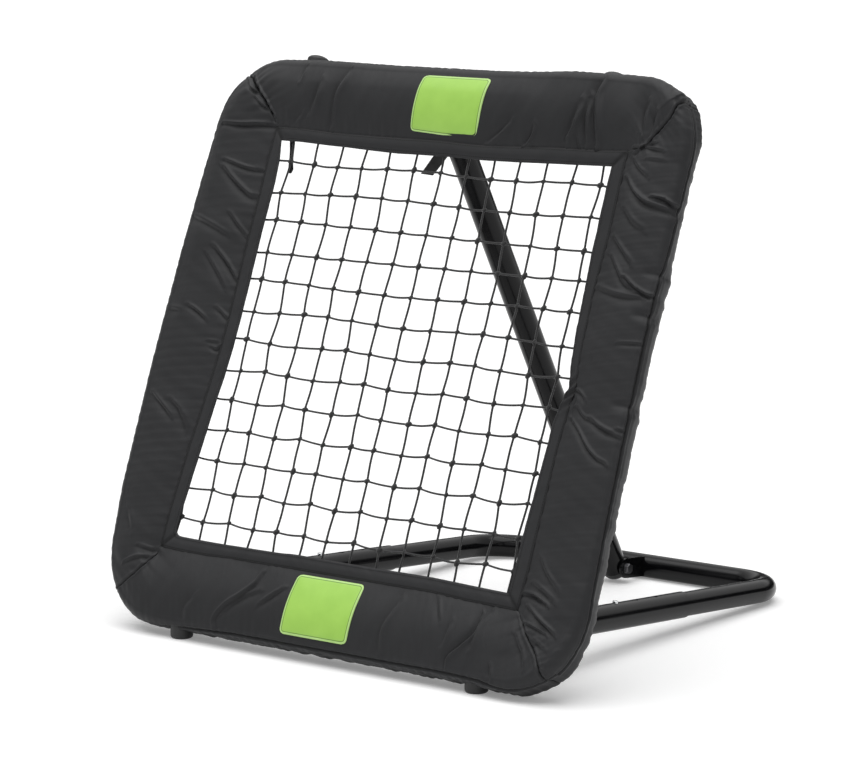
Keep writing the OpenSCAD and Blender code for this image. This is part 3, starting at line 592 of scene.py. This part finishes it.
def round_corner(side, share, y, z, base, grown):
    """Where a point at depth z lies, whose share of the way to the mitre is share (-1 to 1).

    base is its depth in the flat outline, and grown how far it follows the hem's run. Rows near the
    tube follow its bend, and rows at the hem meet squarely. Then come how far it is from the mitre
    and its place along the outline.
    """
    mitre = np.where(share < 0, table(MITRE[beyond(side, -1)], base), table(MITRE[side], base))
    longer = mitre if side in ("left", "right") else -mitre
    beside = np.where(share < 0, seam_end(side, -1), seam_end(side, 1))
    square = unit((base - 30) / (SEAM - 30))
    radius = np.maximum(BEND - base, 0) * (1 - eased(square))
    start = HALF - base - grown * beside - radius
    half = start + radius * math.pi / 4 + longer
    reach = np.abs(share) * half
    bent = (reach > start) & (radius > 0.01)
    angle = np.where(bent, (reach - start) / np.maximum(radius, 0.01), 0)
    past = np.maximum(angle - math.pi / 2, 0) * radius
    angle = np.minimum(angle, math.pi / 2)
    own = grown * (table(HEM_SEAM[side], np.sign(share) * np.minimum(reach, start)) - SEAM)
    full = radius + base + own - z
    x = np.where(bent, start + full * np.sin(angle), reach)
    zz = np.where(bent, base + own + radius - full * np.cos(angle) + past, z)
    at = np.where(bent, STRAIGHT / 2 + (BEND - OUTER) * np.minimum(angle, 1.3), np.minimum(reach, STRAIGHT / 2))
    return np.sign(share) * x, y, zz, half * (1 - np.abs(share)), np.sign(share) * at


def waves(seed, base):
    """A smooth random line made of sines, with wavelengths round base; it gives -1 to 1."""
    rng = random.Random(seed)
    parts = [(rng.uniform(0.55, 1.8) * base, rng.uniform(0, 6.28), rng.uniform(0.5, 1)) for _ in range(5)]
    total = sum(p[2] for p in parts)
    return lambda s: sum(w * np.sin(2 * math.pi * s / l + p) for l, p, w in parts) / total


# Folds of the cloth: depth and width in mm, then x and height of points in the frame's plane
FOLDS = [
    (3.2, 4, -384, 697, -347, 697, -319, 700, -292, 701), (3, 3, -360, 766, -347, 753, -325, 745),
    (2.2, 3.5, -335, 739, -320, 728, -301, 721), (2.2, 4, -351, 772, -339, 759, -323, 744, -306, 726, -293, 711),
    (2.4, 4, -364, 643, -323, 634, -296, 633), (2.8, 6, -363, 631, -341, 614, -311, 595, -296, 594),
    (1.8, 6, -404, 557, -367, 547, -331, 534), (1.8, 5, -333, 565, -317, 550, -301, 537),
    (1.6, 6, -258, 792, -261, 771), (2.4, 10, -179, 790, -192, 755, -191, 712),
    (4.2, 9, 262, 799, 255, 777, 259, 747, 267, 708), (3.2, 8, 246, 769, 245, 742, 251, 709),
    (2.4, 9, 233, 763, 227, 741, 221, 721), (1.6, 3.5, 234, 722, 242, 701, 255, 684),
    (2.6, 8, 345, 767, 342, 748, 345, 728), (2.4, 6, 363, 754, 361, 740, 359, 724),
    (2, 3, 337, 696, 351, 706, 372, 713), (2.2, 3.5, 353, 706, 368, 704, 385, 702), (1.2, 4, 364, 689, 390, 689),
    (4, 5.5, 333, 662, 351, 644, 372, 631, 392, 626, 413, 622), (3.2, 3.5, 385, 639, 402, 637, 419, 631, 432, 638),
    (1.6, 5, 337, 689, 350, 677, 370, 665), (1.8, 7, 341, 619, 362, 601, 381, 592),
    (2.4, 6, 335, 579, 353, 563, 372, 547), (2, 8, 373, 802, 385, 780, 401, 767),
    (2.2, 5, 338, 554, 354, 536, 369, 519, 392, 508), (4.2, 3.5, 369, 528, 385, 517, 405, 508, 420, 508, 430, 513),
    (2.4, 6, 327, 510, 355, 503, 378, 501, 401, 502), (1.6, 3, 383, 439, 404, 441, 428, 443),
    (2.2, 3, 332, 359, 330, 346, 332, 332), (2.4, 3.5, 325, 372, 337, 368, 349, 359),
    (3.2, 4, 330, 332, 351, 315, 370, 296, 386, 284, 402, 278), (3, 4.5, 365, 334, 384, 324, 414, 315),
    (2.2, 3, 408, 325, 424, 325), (1.8, 4, 338, 348, 351, 337, 365, 332), (1.6, 6, 334, 141, 349, 124, 372, 105),
    (2.6, 4.5, 258, 60, 255, 34, 240, 15, 221, -4, 220, -24), (1.6, 7, 270, 65, 261, 48, 255, 14),
    (1.4, 7, 215, 41, 209, 11), (3.6, 4, 318, 94, 338, 93, 363, 83), (3, 5, 331, 77, 357, 61, 382, 47),
    (2.4, 3.5, 331, 56, 349, 52, 371, 45), (1.4, 5, 350, 36, 374, 25), (1.6, 6, 332, 108, 352, 99, 371, 89),
    (1.6, 6, 322, 37, 337, 18, 346, -2), (1.6, 5, 295, -8, 298, -25), (1.6, 4, -353, 73, -333, 71, -321, 72),
    (1.8, 4, -370, 46, -351, 56, -330, 61), (2.2, 5, -180, -21, -183, -8, -168, 11, -146, 28, -128, 47, -121, 64),
    (1.6, 6, -171, -1, -145, 23, -116, 37), (1.8, 5, -110, 19, -93, 33, -74, 47), (1, 9, -232, 16, -245, 0, -246, -19),
    (1, 8, -390, 121, -375, 94), (2.8, 5, -347, 515, -320, 493, -302, 474, -296, 470),
    (1.4, 5, -359, 504, -333, 479, -313, 456), (2.6, 4, -368, 426, -350, 419, -332, 409),
    (2, 4, -318, 427, -304, 418, -297, 413), (1.4, 3, -320, 378, -303, 379), (2.2, 3, -311, 370, -303, 368, -297, 374),
    (1.2, 5, -401, 418, -380, 417), (2.2, 5, -395, 292, -370, 276, -352, 263),
    (1.4, 5, -360, 287, -343, 276, -332, 262), (1.2, 8, -345, 279, -330, 260, -320, 241),
    (1.2, 6, -246, 723, -259, 709), (2.2, 10, -223, 769, -227, 745, -232, 727), (2, 6, 124, 732, 107, 716, 89, 702),
    (2.6, 6, 164, 727, 160, 714, 151, 702), (1.4, 6, 229, 734, 220, 718, 220, 705),
    (1.5, 8, 120, 60, 104, 20, 106, -12), (1.2, 5, 180, 70, 196, 40),
]


def smooth_line(points, steps=5):
    """A curve through the points, as closer points on it."""
    points = np.array(points, float)
    ends = np.vstack([2 * points[0] - points[1], points, 2 * points[-1] - points[-2]])
    line = []
    for p, q, r, t in zip(ends, ends[1:], ends[2:], ends[3:]):
        for k in np.arange(steps) / steps:
            bends = (r - p) * k + (2 * p - 5 * q + 4 * r - t) * k ** 2 + (3 * q - p - 3 * r + t) * k ** 3
            line.append(q + bends / 2)
    return np.array(line + [points[-1]])


def bell(x, width):
    """A soft bump: 1 at 0, and near 0 beyond twice the width."""
    return np.exp(-((x / width) ** 2))


def fold_depth(u, v):
    """How deep the folds press the face in at points of the frame's plane, and how much shade is painted into their
    valleys.

    Each has a ridge on its left, drops from it into a valley and runs out slowly to the right.
    """
    total, dark = np.zeros_like(u), np.zeros_like(u)
    for depth, width, *points in FOLDS:
        width = 0.55 * width
        line = smooth_line(np.reshape(points, (-1, 2)))
        near_by = (u > line[:, 0].min() - 6 * width) & (u < line[:, 0].max() + 6 * width)
        near_by &= (v > line[:, 1].min() - 6 * width) & (v < line[:, 1].max() + 6 * width)
        if not near_by.any():
            continue
        uu, vv = u[near_by], v[near_by]
        lengths = np.linalg.norm(np.diff(line, axis=0), axis=1)
        best, signed, share = np.full_like(uu, 1e9), np.zeros_like(uu), np.zeros_like(uu)
        done = 0
        for a, b, length in zip(line, line[1:], lengths):
            d = (b - a) / length
            t = np.clip((uu - a[0]) * d[0] + (vv - a[1]) * d[1], 0, length)
            off = np.hypot(uu - a[0] - t * d[0], vv - a[1] - t * d[1])
            right = np.sign((uu - a[0]) * d[1] - (vv - a[1]) * d[0])
            near = off < best
            share = np.where(near, (done + t) / lengths.sum(), share)
            signed = np.where(near, off * right, signed)
            best = np.minimum(best, off)
            done += length
        fade = np.sin(math.pi * unit(0.1 + 0.8 * share)) ** 0.8
        fade = fade * unit(1.4 - best / (4.5 * width))
        below, above = np.maximum(signed, 0) / width, np.minimum(signed, 0) / width
        valley = np.where(signed > 0, (1 + 1.1 * below) * np.exp(-1.1 * below), bell(above, 0.75))
        valley -= 0.8 * bell(signed + 1.75 * width, 0.95 * width)
        total[near_by] += depth * fade * valley
        # Painted shade: the colour is darkened along the valley, where the fold's own shadow falls.
        shadow = bell(signed - 0.2 * width, 0.6 * width)
        dark[near_by] = np.maximum(dark[near_by], min(1, depth / 3.2) * fade * shadow)
    return total, dark


# How far the outer edge is drawn in on the tube at places along a side's outline: 1 lies close round
# the tube, 0 is full, and below 0 stands out. The rear of the edge has its own list on two sides.
FRONT_EDGE = {
    "left": [-395, 0.8, -366, 0.85, -334, 0.97, -305, 1, -275, 0.9, -245, 0.77, -186, 0.6, -127, 0.42, -68, 0.3, -9,
             0.2, 50, 0.1, 227, 0.1, 286, 0.32, 315, 0.42, 348, 0.5, 395, 0.3],
    "top": [-395, -1.1, -365, -0.6, -316, 0.05, -246, 0, -211, -0.05, -130, 0.35, -72, 0.45, 103, 0.5, 242, 0.35, 312,
            0.6, 348, 0.7, 395, 0.8],
    "right": [-395, -0.6, -330, 0, 300, 0.15, 340, -0.2, 395, -1],
    "bottom": [-395, 0.3, -340, 0.1, -300, 0, 200, 0, 240, -0.1, 330, -0.6, 395, -0.6],
}
REAR_EDGE = {
    **FRONT_EDGE,
    "right": [-395, -0.6, -350, 0.2, -300, 0.7, -133, 0.8, -79, 0.75, -24, 0.9, 31, 1, 86, 0.9, 141, 0.65, 195, 0.95,
              250, 0.85, 305, 0.8, 334, 0.2, 366, -0.5, 395, -1],
    "bottom": [-395, 0.3, -340, 0.1, -300, 0, 80, -0.1, 240, -0.25, 330, -0.7, 395, -0.6],
}
# Where the seam between the face and the gusset runs, in mm in front of the start of the rounded edge
SEAM_RUN = {
    "bottom": [-395, -6, -310, 1, -240, 9, -150, 13.5, 280, 13.5, 395, -2],
    "right": [-395, -6, -330, -4, -280, 1, -200, 4, -100, 6, 60, 8, 120, 7, 180, 1, 250, -3, 310, -6, 395, -8],
    "top": [-395, -8, -260, 2, 250, 2, 395, -4],
    "left": [-395, -4, -250, 5, 250, 5, 395, -4],
}
HALF_ROUND = STRAIGHT / 2 + (BEND - OUTER) * math.pi / 4
CLOSE = 24.0


def around(tables, side, at):
    """Values along a side's outline, going on with the next side's list past the middle of a corner."""
    value = table(tables[side], at)
    for end in (-1, 1):
        next_one = table(tables[beyond(side, end)], -end * (2 * HALF_ROUND - np.abs(at)))
        value = np.where(at * end > HALF_ROUND, next_one, value)
    return value


def drawn_in(side, at, y, z):
    """Draws the outer edge of a padded side in towards the tube, at places along its outline."""
    to_rear = unit((y + 10) / 20)
    hold = eased(unit((12 - z) / 30))
    pull = around(FRONT_EDGE, side, at) * (1 - to_rear) + around(REAR_EDGE, side, at) * to_rear
    k = 1 - pull * hold * (np.hypot(y, z) - CLOSE) / np.maximum(np.hypot(y, z), 1)
    return y * k, z * k


pts, normals, so_far, edge_at, hem_at = section()
even = np.linspace(-1, 1, COLUMNS)
shares = 0.55 * even + 0.45 * np.sin(even * 1.52) / math.sin(1.52)
PATCH_W, PATCH_H, PATCH_R = 59.0, 43.0, 8.0
PATCH_AT = {"top": -18, "bottom": -2}
PATCH_UP = 30
SIDES = {"bottom": 11, "top": 23, "left": 37, "right": 53}


def padded_grid(side):
    """Every point of one padded side, wrinkled, as columns by outline points."""
    seed = SIDES[side]
    share = np.repeat(shares[:, None], len(pts), 1)
    order = np.arange(len(pts))[None, :] + 0 * share
    shell = order <= hem_at
    flat_y, flat_z = pts[None, :, 0] + 0 * share, pts[None, :, 1] + 0 * share
    grown = unit((flat_z - 5) / (SEAM - 5)) ** 1.5 * (order <= hem_at + 2)
    x0, _, _, _, at = round_corner(side, share, flat_y, flat_z, flat_z, grown)
    y, z = drawn_in(side, at, flat_y, flat_z)
    y, z = np.where(shell, y, flat_y), np.where(shell, z, flat_z)
    bowed = z + grown * (table(HEM_SEAM[side], x0) - SEAM)
    x0, _, z0, to_mitre, _ = round_corner(side, share, y, bowed, flat_z, grown)
    flat = on_side(side, x0, y, z0)
    past_seam = so_far[None, :] - so_far[edge_at] - around(SEAM_RUN, side, at)
    face = ((past_seam >= 0) & shell).astype(float)
    outside = (past_seam < 0).astype(float)
    to_seam = np.abs(past_seam)
    to_hem = np.abs(so_far - so_far[hem_at])[None, :]
    soften = face * unit(to_seam / 14) * unit(to_hem / 10)
    edges = np.ones_like(share)
    if side in PATCH_AT:
        beside = np.abs(x0 - PATCH_AT[side]) - PATCH_W
        past = np.maximum(beside, np.abs(z - PATCH_UP) - PATCH_H)
        soften = soften * (0.15 + 0.85 * unit((past + 2) / 18))
        edges = 0.1 + 0.9 * unit((beside - 3) / 14)
    slow, mid, fine = waves(seed, 130), waves(seed + 1, 34), waves(seed + 2, 17)
    folds, dark = fold_depth(flat[..., 0], flat[..., 2])
    depth = 1.25 * folds * face * unit(0.35 + to_seam / 20)
    depth -= (1.1 * slow(x0 + 0.7 * z) + 0.45 * mid(x0 - 0.5 * z) + 0.2 * waves(seed + 6, 12)(x0 + 0.2 * z)) * soften
    depth -= (0.35 if side == "bottom" else 0.7) * fine(x0) * face * np.exp(-to_hem / 13) * edges
    depth -= 0.7 * fine(x0 + 60) * face * np.exp(-to_seam / 11)
    gather = unit(to_seam / 9) * outside
    depth -= (1.0 * fine(x0 + 25) + 0.35 * waves(seed + 3, 9.5)(x0) + 1.5 * waves(seed + 5, 38)(x0)) * gather
    if side == "right":
        for notch in (235, 149, 92, -30):
            depth += 3.2 * bell(at - notch, 5) * unit(1.6 - to_seam / 20)
    depth += 2.2 * bell(to_seam, 1.4) - 0.8 * bell(to_seam - 3.4, 1.7) * (face + outside)
    edge = face + outside * unit(1 - to_seam / 60)
    edge = edge * np.clip((SEAM - z) / 20, 0.25, 1)
    depth += (1.5 * bell(to_mitre, 1.2) + 0.8 * bell(to_mitre, 11) - 0.8 * bell(to_mitre - 3.6, 1.8)) * edge
    pucker = waves(seed + 4, 13)(z + 0.35 * to_mitre)
    depth -= 1.5 * pucker * np.exp(-to_mitre / 24) * soften
    depth = np.where(order > hem_at + 1, 0, depth)
    yy = y - normals[None, :, 0] * depth
    zz = bowed - normals[None, :, 1] * depth
    xx, yy, zz, _, _ = round_corner(side, share * (1 + 0.002 * grown), yy, zz, flat_z, grown)
    # Painted shade, darkening the colour: the seam and mitre crevices, the hem's seam and the fold valleys.
    painted_shade = bell(to_seam, 1.6) + 0.9 * bell(to_mitre, 1.3) * edge
    painted_shade = np.maximum(painted_shade, np.maximum(0.55 * bell(to_hem, 2), 0.7 * dark) * face)
    # Painted shade: on the left, the gusset beyond the seam is darkened as cloth turned away into shadow.
    if side == "left":
        left_rim_shade = 0.85 * unit(1 - (past_seam - 1) / 3) * np.exp(-np.maximum(-past_seam, 0) / 25)
        painted_shade = np.maximum(painted_shade, left_rim_shade)
    return on_side(side, xx, yy, zz), x0, unit(painted_shade)


def satin_cloth(name, colour, stitches=()):
    """Coated polyester: fine plain weave on the UV map in metres, soft satin sheen, dull rubbed places.

    A per-vertex attribute paints shade into the colour in seams, mitres and the bottoms of folds; stitches are rows at
    those V values.
    """
    material, tree, shader = node_tree(name)
    uv, place = add(tree, "TexCoord", "UV"), add(tree, "TexCoord", "Object")
    threads = [add(tree, "TexWave", "Fac", bands_direction=way, Vector=uv, Scale=260, Distortion=0.3) for way in "XY"]
    weave = add(tree, "Math", "Value", *threads, operation="ADD")
    rub = add(tree, "TexNoise", "Fac", Vector=place, Scale=6, Detail=7)
    crumple = add(tree, "TexNoise", "Fac", Vector=place, Scale=48, Detail=4)
    # Painted shade: where the per-vertex shade value is high, the colour falls towards an eighth of itself.
    final = add(tree, "Mix", "Result", data_type="RGBA",
                Factor=add(tree, "Attribute", "Fac", attribute_name="painted_shade"),
                A=ramp(tree, rub, (0.3, tone(colour, 0.9)), (0.72, tone(colour, 1.1))), B=(*tone(colour, 0.12), 1))
    if stitches:
        split = put(tree.nodes.new("ShaderNodeSeparateXYZ"), Vector=uv).outputs
        gap = add(tree, "Math", "Value", split["X"], 0.002, operation="PINGPONG")
        sewn = add(tree, "Math", "Value", gap, 0.0005, operation="GREATER_THAN")
        rows = [add(tree, "Math", "Value", split["Y"], at, 0.0007, operation="COMPARE") for at in stitches]
        either = add(tree, "Math", "Value", *rows, operation="MAXIMUM")
        thread = add(tree, "Math", "Value", sewn, either, operation="MULTIPLY")
        final = add(tree, "Mix", "Result", data_type="RGBA", Factor=thread, A=final, B=(*tone(colour, 0.3), 1))
    put(shader, Base_Color=final, Roughness=0.52, Specular_IOR_Level=0.22, Sheen_Weight=0.02,
        Normal=bumps(tree, weave, 0.12, 0.0002, Normal=bumps(tree, crumple, 0.2, 0.002)))
    return material


def point_values(piece, name, values):
    """Stores one number for each vertex of a piece, for its material to read."""
    layer = piece.data.attributes.new(name, "FLOAT", "POINT")
    layer.data.foreach_set("value", np.asarray(values, np.float32).ravel())


CHARCOAL = (0.022, 0.02224, 0.02368)
cover_black = satin_cloth("cover_black", CHARCOAL)
near, far = so_far / 1000, np.append(so_far[1:], so_far[-1] + 3) / 1000
for side in SIDES:
    grid, along, painted_shade = padded_grid(side)
    faces, _ = tube_faces(range(COLUMNS), len(pts))
    x1, x2 = along[:-1] / 1000, along[1:] / 1000
    uvs = np.stack([np.stack([x1, x1, x2, x2], -1), np.stack([near, far, far, near], -1) + 0 * x1[..., None]], -1)
    uvs = np.append(uvs.reshape(-1, 2), np.zeros((2 * len(pts), 2)), 0)
    pad = mesh_piece("pad_" + side, in_frame(grid.reshape(-1, 3)), faces, uvs, cover_black)
    point_values(pad, "painted_shade", painted_shade)
    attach(pad, "main_frame")
    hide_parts("cover_" + side, "foam_" + side)


# ---- Hem ----
# A doubled strip of the same cloth edges the opening: sewn to the padding in one long seam, with a
# row of stitches along its free edge. On the right, a tie behind it has pulled it in at half height.
HEM_EDGE = {
    "bottom": [-299, 98, -260, 97, -210, 96.5, -104, 97, -79, 98.5, 60, 97.5, 159, 98, 229, 95.5, 291, 93.5],
    "right": [291, 93.5, 292, 117, 293, 165, 295, 205, 297, 244, 300, 296, 300, 324, 303, 340, 306, 352, 310.5, 366,
              314, 376, 311, 389, 308, 410, 306, 432, 304, 476, 303, 517, 301.5, 562, 301.5, 649, 302, 680],
    "top": [302, 680, 242, 678.3, 200, 677.5, 152, 676, 84, 675, 31, 676.5, -25, 676, -64, 675.5, -112, 677, -156,
            679, -196, 680, -239, 682, -276, 682],
    "left": [-276, 682, -270.5, 653, -269.5, 616, -272, 534, -272, 470, -273.5, 385, -277, 337, -282, 294, -286, 252,
             -290, 208, -294, 165, -298, 122, -299, 98],
}
HEM_STEPS = 200
HEM_ROWS = 9
HEM_WIDE = 0.025
HEM_FRONT, HEM_BACK = -21.6, -19.8
outer_loop, inner_loop = [], []
for side in ORDER:
    t = np.linspace(0, 1, HEM_STEPS, endpoint=False)
    low, high = HEM_SEAM[side][0], HEM_SEAM[side][-2]
    along_side = low + (high - low) * t
    flat_z = table(HEM_SEAM[side], along_side) - 1.5
    outer_loop += list(on_side(side, along_side, 0 * t, flat_z)[:, [0, 2]])
    line = np.reshape(HEM_EDGE[side], (-1, 2))
    reach = np.concatenate([[0], np.cumsum(np.linalg.norm(np.diff(line, axis=0), axis=1))])
    inner_loop += list(np.stack([np.interp(t * reach[-1], reach, line[:, c]) for c in (0, 1)], -1))
outer_loop, inner_loop = np.array(outer_loop), np.array(inner_loop)
LOOP = 4 * HEM_STEPS
steps = np.arange(LOOP)
from_first = np.minimum(steps, LOOP - steps)
from_corner = np.minimum(steps % HEM_STEPS, HEM_STEPS - steps % HEM_STEPS)
for _ in range(10):
    mean = (np.roll(inner_loop, 1, 0) + np.roll(inner_loop, -1, 0)) / 2
    for weight in (unit(1 - from_first / 5), 0.5 * (from_corner > 6)):
        inner_loop = inner_loop * (1 - weight[:, None]) + mean * weight[:, None]
run = np.concatenate([[0], np.cumsum(np.linalg.norm(np.diff(outer_loop, axis=0), axis=1))])
run = np.append(run, run[-1] + run[1])
slow, fine = waves(71, 55), waves(72, 15)
pinch = bell(outer_loop[:, 1] - 368, 20) * (outer_loop[:, 0] > 250)
hem_verts, hem_painted_shade = [], []
for layer in (0, 1):
    for j in range(HEM_ROWS):
        f = j / (HEM_ROWS - 1)
        place = outer_loop * (1 - f) + inner_loop * f
        wave = 0.75 * slow(run[:-1]) * f + 0.5 * fine(run[:-1] + 30 * f) * (0.3 + 0.7 * f)
        wave += 2.0 * pinch * np.sin(place[:, 1] / 2.6 + 5 * f)
        edge = 0.55 if j == HEM_ROWS - 1 else 0.0
        if layer == 0:
            swell = 0.9 * math.sin(math.pi * min(1, f * 1.25))
            mitre = 1.0 * bell(from_corner, 1.2) * (0 < f < 1)
            y = HEM_FRONT - swell - wave + mitre + edge + 0.7 * bell(f - 0.8, 0.05)
        else:
            y = HEM_BACK - 0.5 * wave - edge
        hem_verts.append(np.stack([place[:, 0], y, place[:, 1]], -1))
        # Painted shade: darker at the mitred corners, along the two rows at the seam and in the pinched folds.
        hem_painted_shade.append(unit(0.8 * bell(from_corner, 1.1) + {0: 0.75, 1: 0.25}.get(j, 0) + 0.5 * pinch))
hem_verts = np.stack(hem_verts, 1)
hem_black = satin_cloth("hem_black", tone(CHARCOAL, 1.04), stitches=(0.0035, 0.0205))
hem_faces = strip_faces(run / 1000, HEM_ROWS, HEM_WIDE, True)
hem = mesh_piece("hem", in_frame(hem_verts.reshape(-1, 3)), *hem_faces, hem_black)
point_values(hem, "painted_shade", np.stack(hem_painted_shade, 1))
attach(hem, "main_frame")


# ---- Green patches ----
# A thinly padded patch of lime coated cloth is sewn to the middle of the top and bottom sides, with
# a paler welt round its edge and one row of dark green stitches inside it.
welt, stitch, field = (0.56, 0.83, 0.29), (0.10, 0.24, 0.02), (0.40, 0.70, 0.115)
lime, tree, shader = node_tree("patch_lime")
zones = ramp(tree, add(tree, "Attribute", "Fac", attribute_name="edge"), (0.0, welt), (0.18, welt), (0.2, stitch),
             (0.24, stitch), (0.27, field), (1.0, field))
cloudy = add(tree, "TexNoise", "Fac", Vector=add(tree, "TexCoord", "Object"), Scale=38, Detail=5)
shades = ramp(tree, cloudy, (0.3, (0.9, 0.93, 0.86)), (0.7, (1.0, 1.0, 1.0)))
weave = add(tree, "TexWave", "Fac", bands_direction="DIAGONAL", Vector=add(tree, "TexCoord", "UV"), Scale=330)
put(shader, Base_Color=add(tree, "Mix", "Result", data_type="RGBA", blend_type="MULTIPLY", Factor=1, A=zones, B=shades),
    Normal=bumps(tree, weave, 0.1, 0.0003), Roughness=0.45)

ROUND = np.concatenate([np.linspace(-1, -0.72, 10), np.linspace(-0.68, 0.68, 22), np.linspace(0.72, 1, 10)])
for side, inward, leans, skew in (("top", -1, 6.5, 3.2), ("bottom", 1, 5.0, 0)):
    zs = ROUND * PATCH_H
    past = np.maximum(0, np.abs(zs) - (PATCH_H - PATCH_R))
    half_w = PATCH_W - PATCH_R + np.sqrt(PATCH_R ** 2 - past ** 2)
    xs = np.linspace(-1, 1, 53)
    xs = 0.7 * xs + 0.3 * np.sin(xs * 1.5) / math.sin(1.5)
    X = xs[None, :] * half_w[:, None]
    Z = np.repeat(zs[:, None], len(xs), 1)
    qx, qz = np.abs(X) - (PATCH_W - PATCH_R), np.abs(Z) - (PATCH_H - PATCH_R)
    inside = PATCH_R - np.hypot(np.maximum(qx, 0), np.maximum(qz, 0)) - np.minimum(np.maximum(qx, qz), 0)
    high = 1.0 * (1 - np.exp(-inside / 0.8)) + 1.5 * (1 - np.exp(-inside / 9)) - 0.9 * bell(inside - 3.3, 0.9)
    high += 0.35 * waves(91, 44)(X + 0.4 * Z) * unit(inside / 12)
    slip = (PATCH_H - Z) / (2 * PATCH_H)
    verts = []
    for lift in (0.8 + high, np.full_like(high, 0.15)):
        x = X + inward * PATCH_AT[side] - leans * slip
        z = PATCH_UP + inward * Z + skew * slip * np.minimum(X, 0) / PATCH_W
        y, z = drawn_in(side, inward * x, -(crown(z) + lift), z)
        verts.append(np.stack([x, y, HALF + inward * (z - HALF)], -1))
    faces, _ = strip_faces(zs, len(xs), 0)
    uvs = np.stack([X, Z], -1)[:, None].repeat(2, 1).reshape(-1, 2)[np.ravel(faces)] / 1000
    patch = mesh_piece("patch_lime_" + side, in_frame(np.stack(verts, 1).reshape(-1, 3)), faces, uvs, lime)
    point_values(patch, "edge", unit(inside / 15)[:, None].repeat(2, 1))
    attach(patch, "main_frame")
    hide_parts("patch_" + side)


# ---- Base ----
# Two straight sleeves turn on the lower brackets. The U-shaped rear tube slides in them, and four
# holes on each side take its snap button. Moulded plugs close the sleeves, and a clevis is welded
# to the rear crossbar for the strut.
coat(tube_black, "sleeve_left", "sleeve_right", "rear_tube", "strut_clevis")
coat(bolt_zinc, "strut_bolt", "strut_nut", "strut_washers")
plug_plastic = moulded("plug_plastic", (0.009, 0.009, 0.01), (900, 2, (0.7, (0.014, 0.014, 0.015))), (900, 2),
                       (0.25, 0.0003), 0.42)
coat(plug_plastic, "sleeve_plug_left", "sleeve_plug_right", "strut_plug_top", "strut_plug_bottom")


# ---- Snap buttons ----
# A leaf of spring steel bent to a V inside the rear tube pushes a nickel-plated button out through
# the tube and one hole of the sleeve.
coat(bare_steel("clip_steel", (0.68, 0.69, 0.7), 0.24, 10), "snap_clip_left", "snap_clip_right")


# ---- Strut ----
# One straight steel tube of the same size as the frame's holds the frame up from the rear crossbar.
coat(tube_black, "strut_tube")


# ---- Floor and light ----
# A white studio floor under an even pale sky, with one large soft lamp above. What shines shows a
# white tent overhead that ends a little above the floor, with the dark room behind it.
bpy.ops.mesh.primitive_plane_add(size=60)
floor = bpy.context.object
floor.name = "floor"
floor_white, tree, shader = node_tree("floor_white")
put(shader, Base_Color=(0.9, 0.9, 0.9, 1), Roughness=0.9, Specular_IOR_Level=0.1)
rays = tree.nodes.new("ShaderNodeLightPath").outputs
white = shader.outputs["BSDF"]
lit = add(tree, "AddShader", "Shader", white, add(tree, "Emission", "Emission", Strength=0.22))
looked_at = add(tree, "Math", "Value", rays["Is Camera Ray"], rays["Is Glossy Ray"], operation="MAXIMUM")
put(tree.nodes["Material Output"], Surface=add(tree, "MixShader", "Shader", looked_at, white, lit))
floor.data.materials.append(floor_white)

world = bpy.data.worlds.new("studio")
bpy.context.scene.world = world
world.use_nodes = True
tree = world.node_tree
rays = tree.nodes.new("ShaderNodeLightPath").outputs
upward = add(tree, "SeparateXYZ", "Z", Vector=add(tree, "TexCoord", "Generated"))
tent = add(tree, "MapRange", "Result", interpolation_type="SMOOTHSTEP", Value=upward, From_Min=0.25, From_Max=0.34,
           To_Min=0.03, To_Max=1)
mirrored = add(tree, "Mix", "Result", data_type="FLOAT", Factor=rays["Is Glossy Ray"], A=0.31, B=tent)
strength = add(tree, "Mix", "Result", data_type="FLOAT", Factor=rays["Is Camera Ray"], A=mirrored, B=1)
put(tree.nodes["Background"], Color=(1, 1, 1, 1), Strength=strength)

bpy.ops.object.light_add(type="SUN", location=(-1.0, -1.2, 3.0))
key = bpy.context.object
key.data.energy = 2.4
key.data.angle = math.radians(70)
key.rotation_euler = Vector((0.02, 0.14, -0.99)).to_track_quat("-Z", "Y").to_euler()

bpy.context.scene.view_settings.view_transform = "Standard"
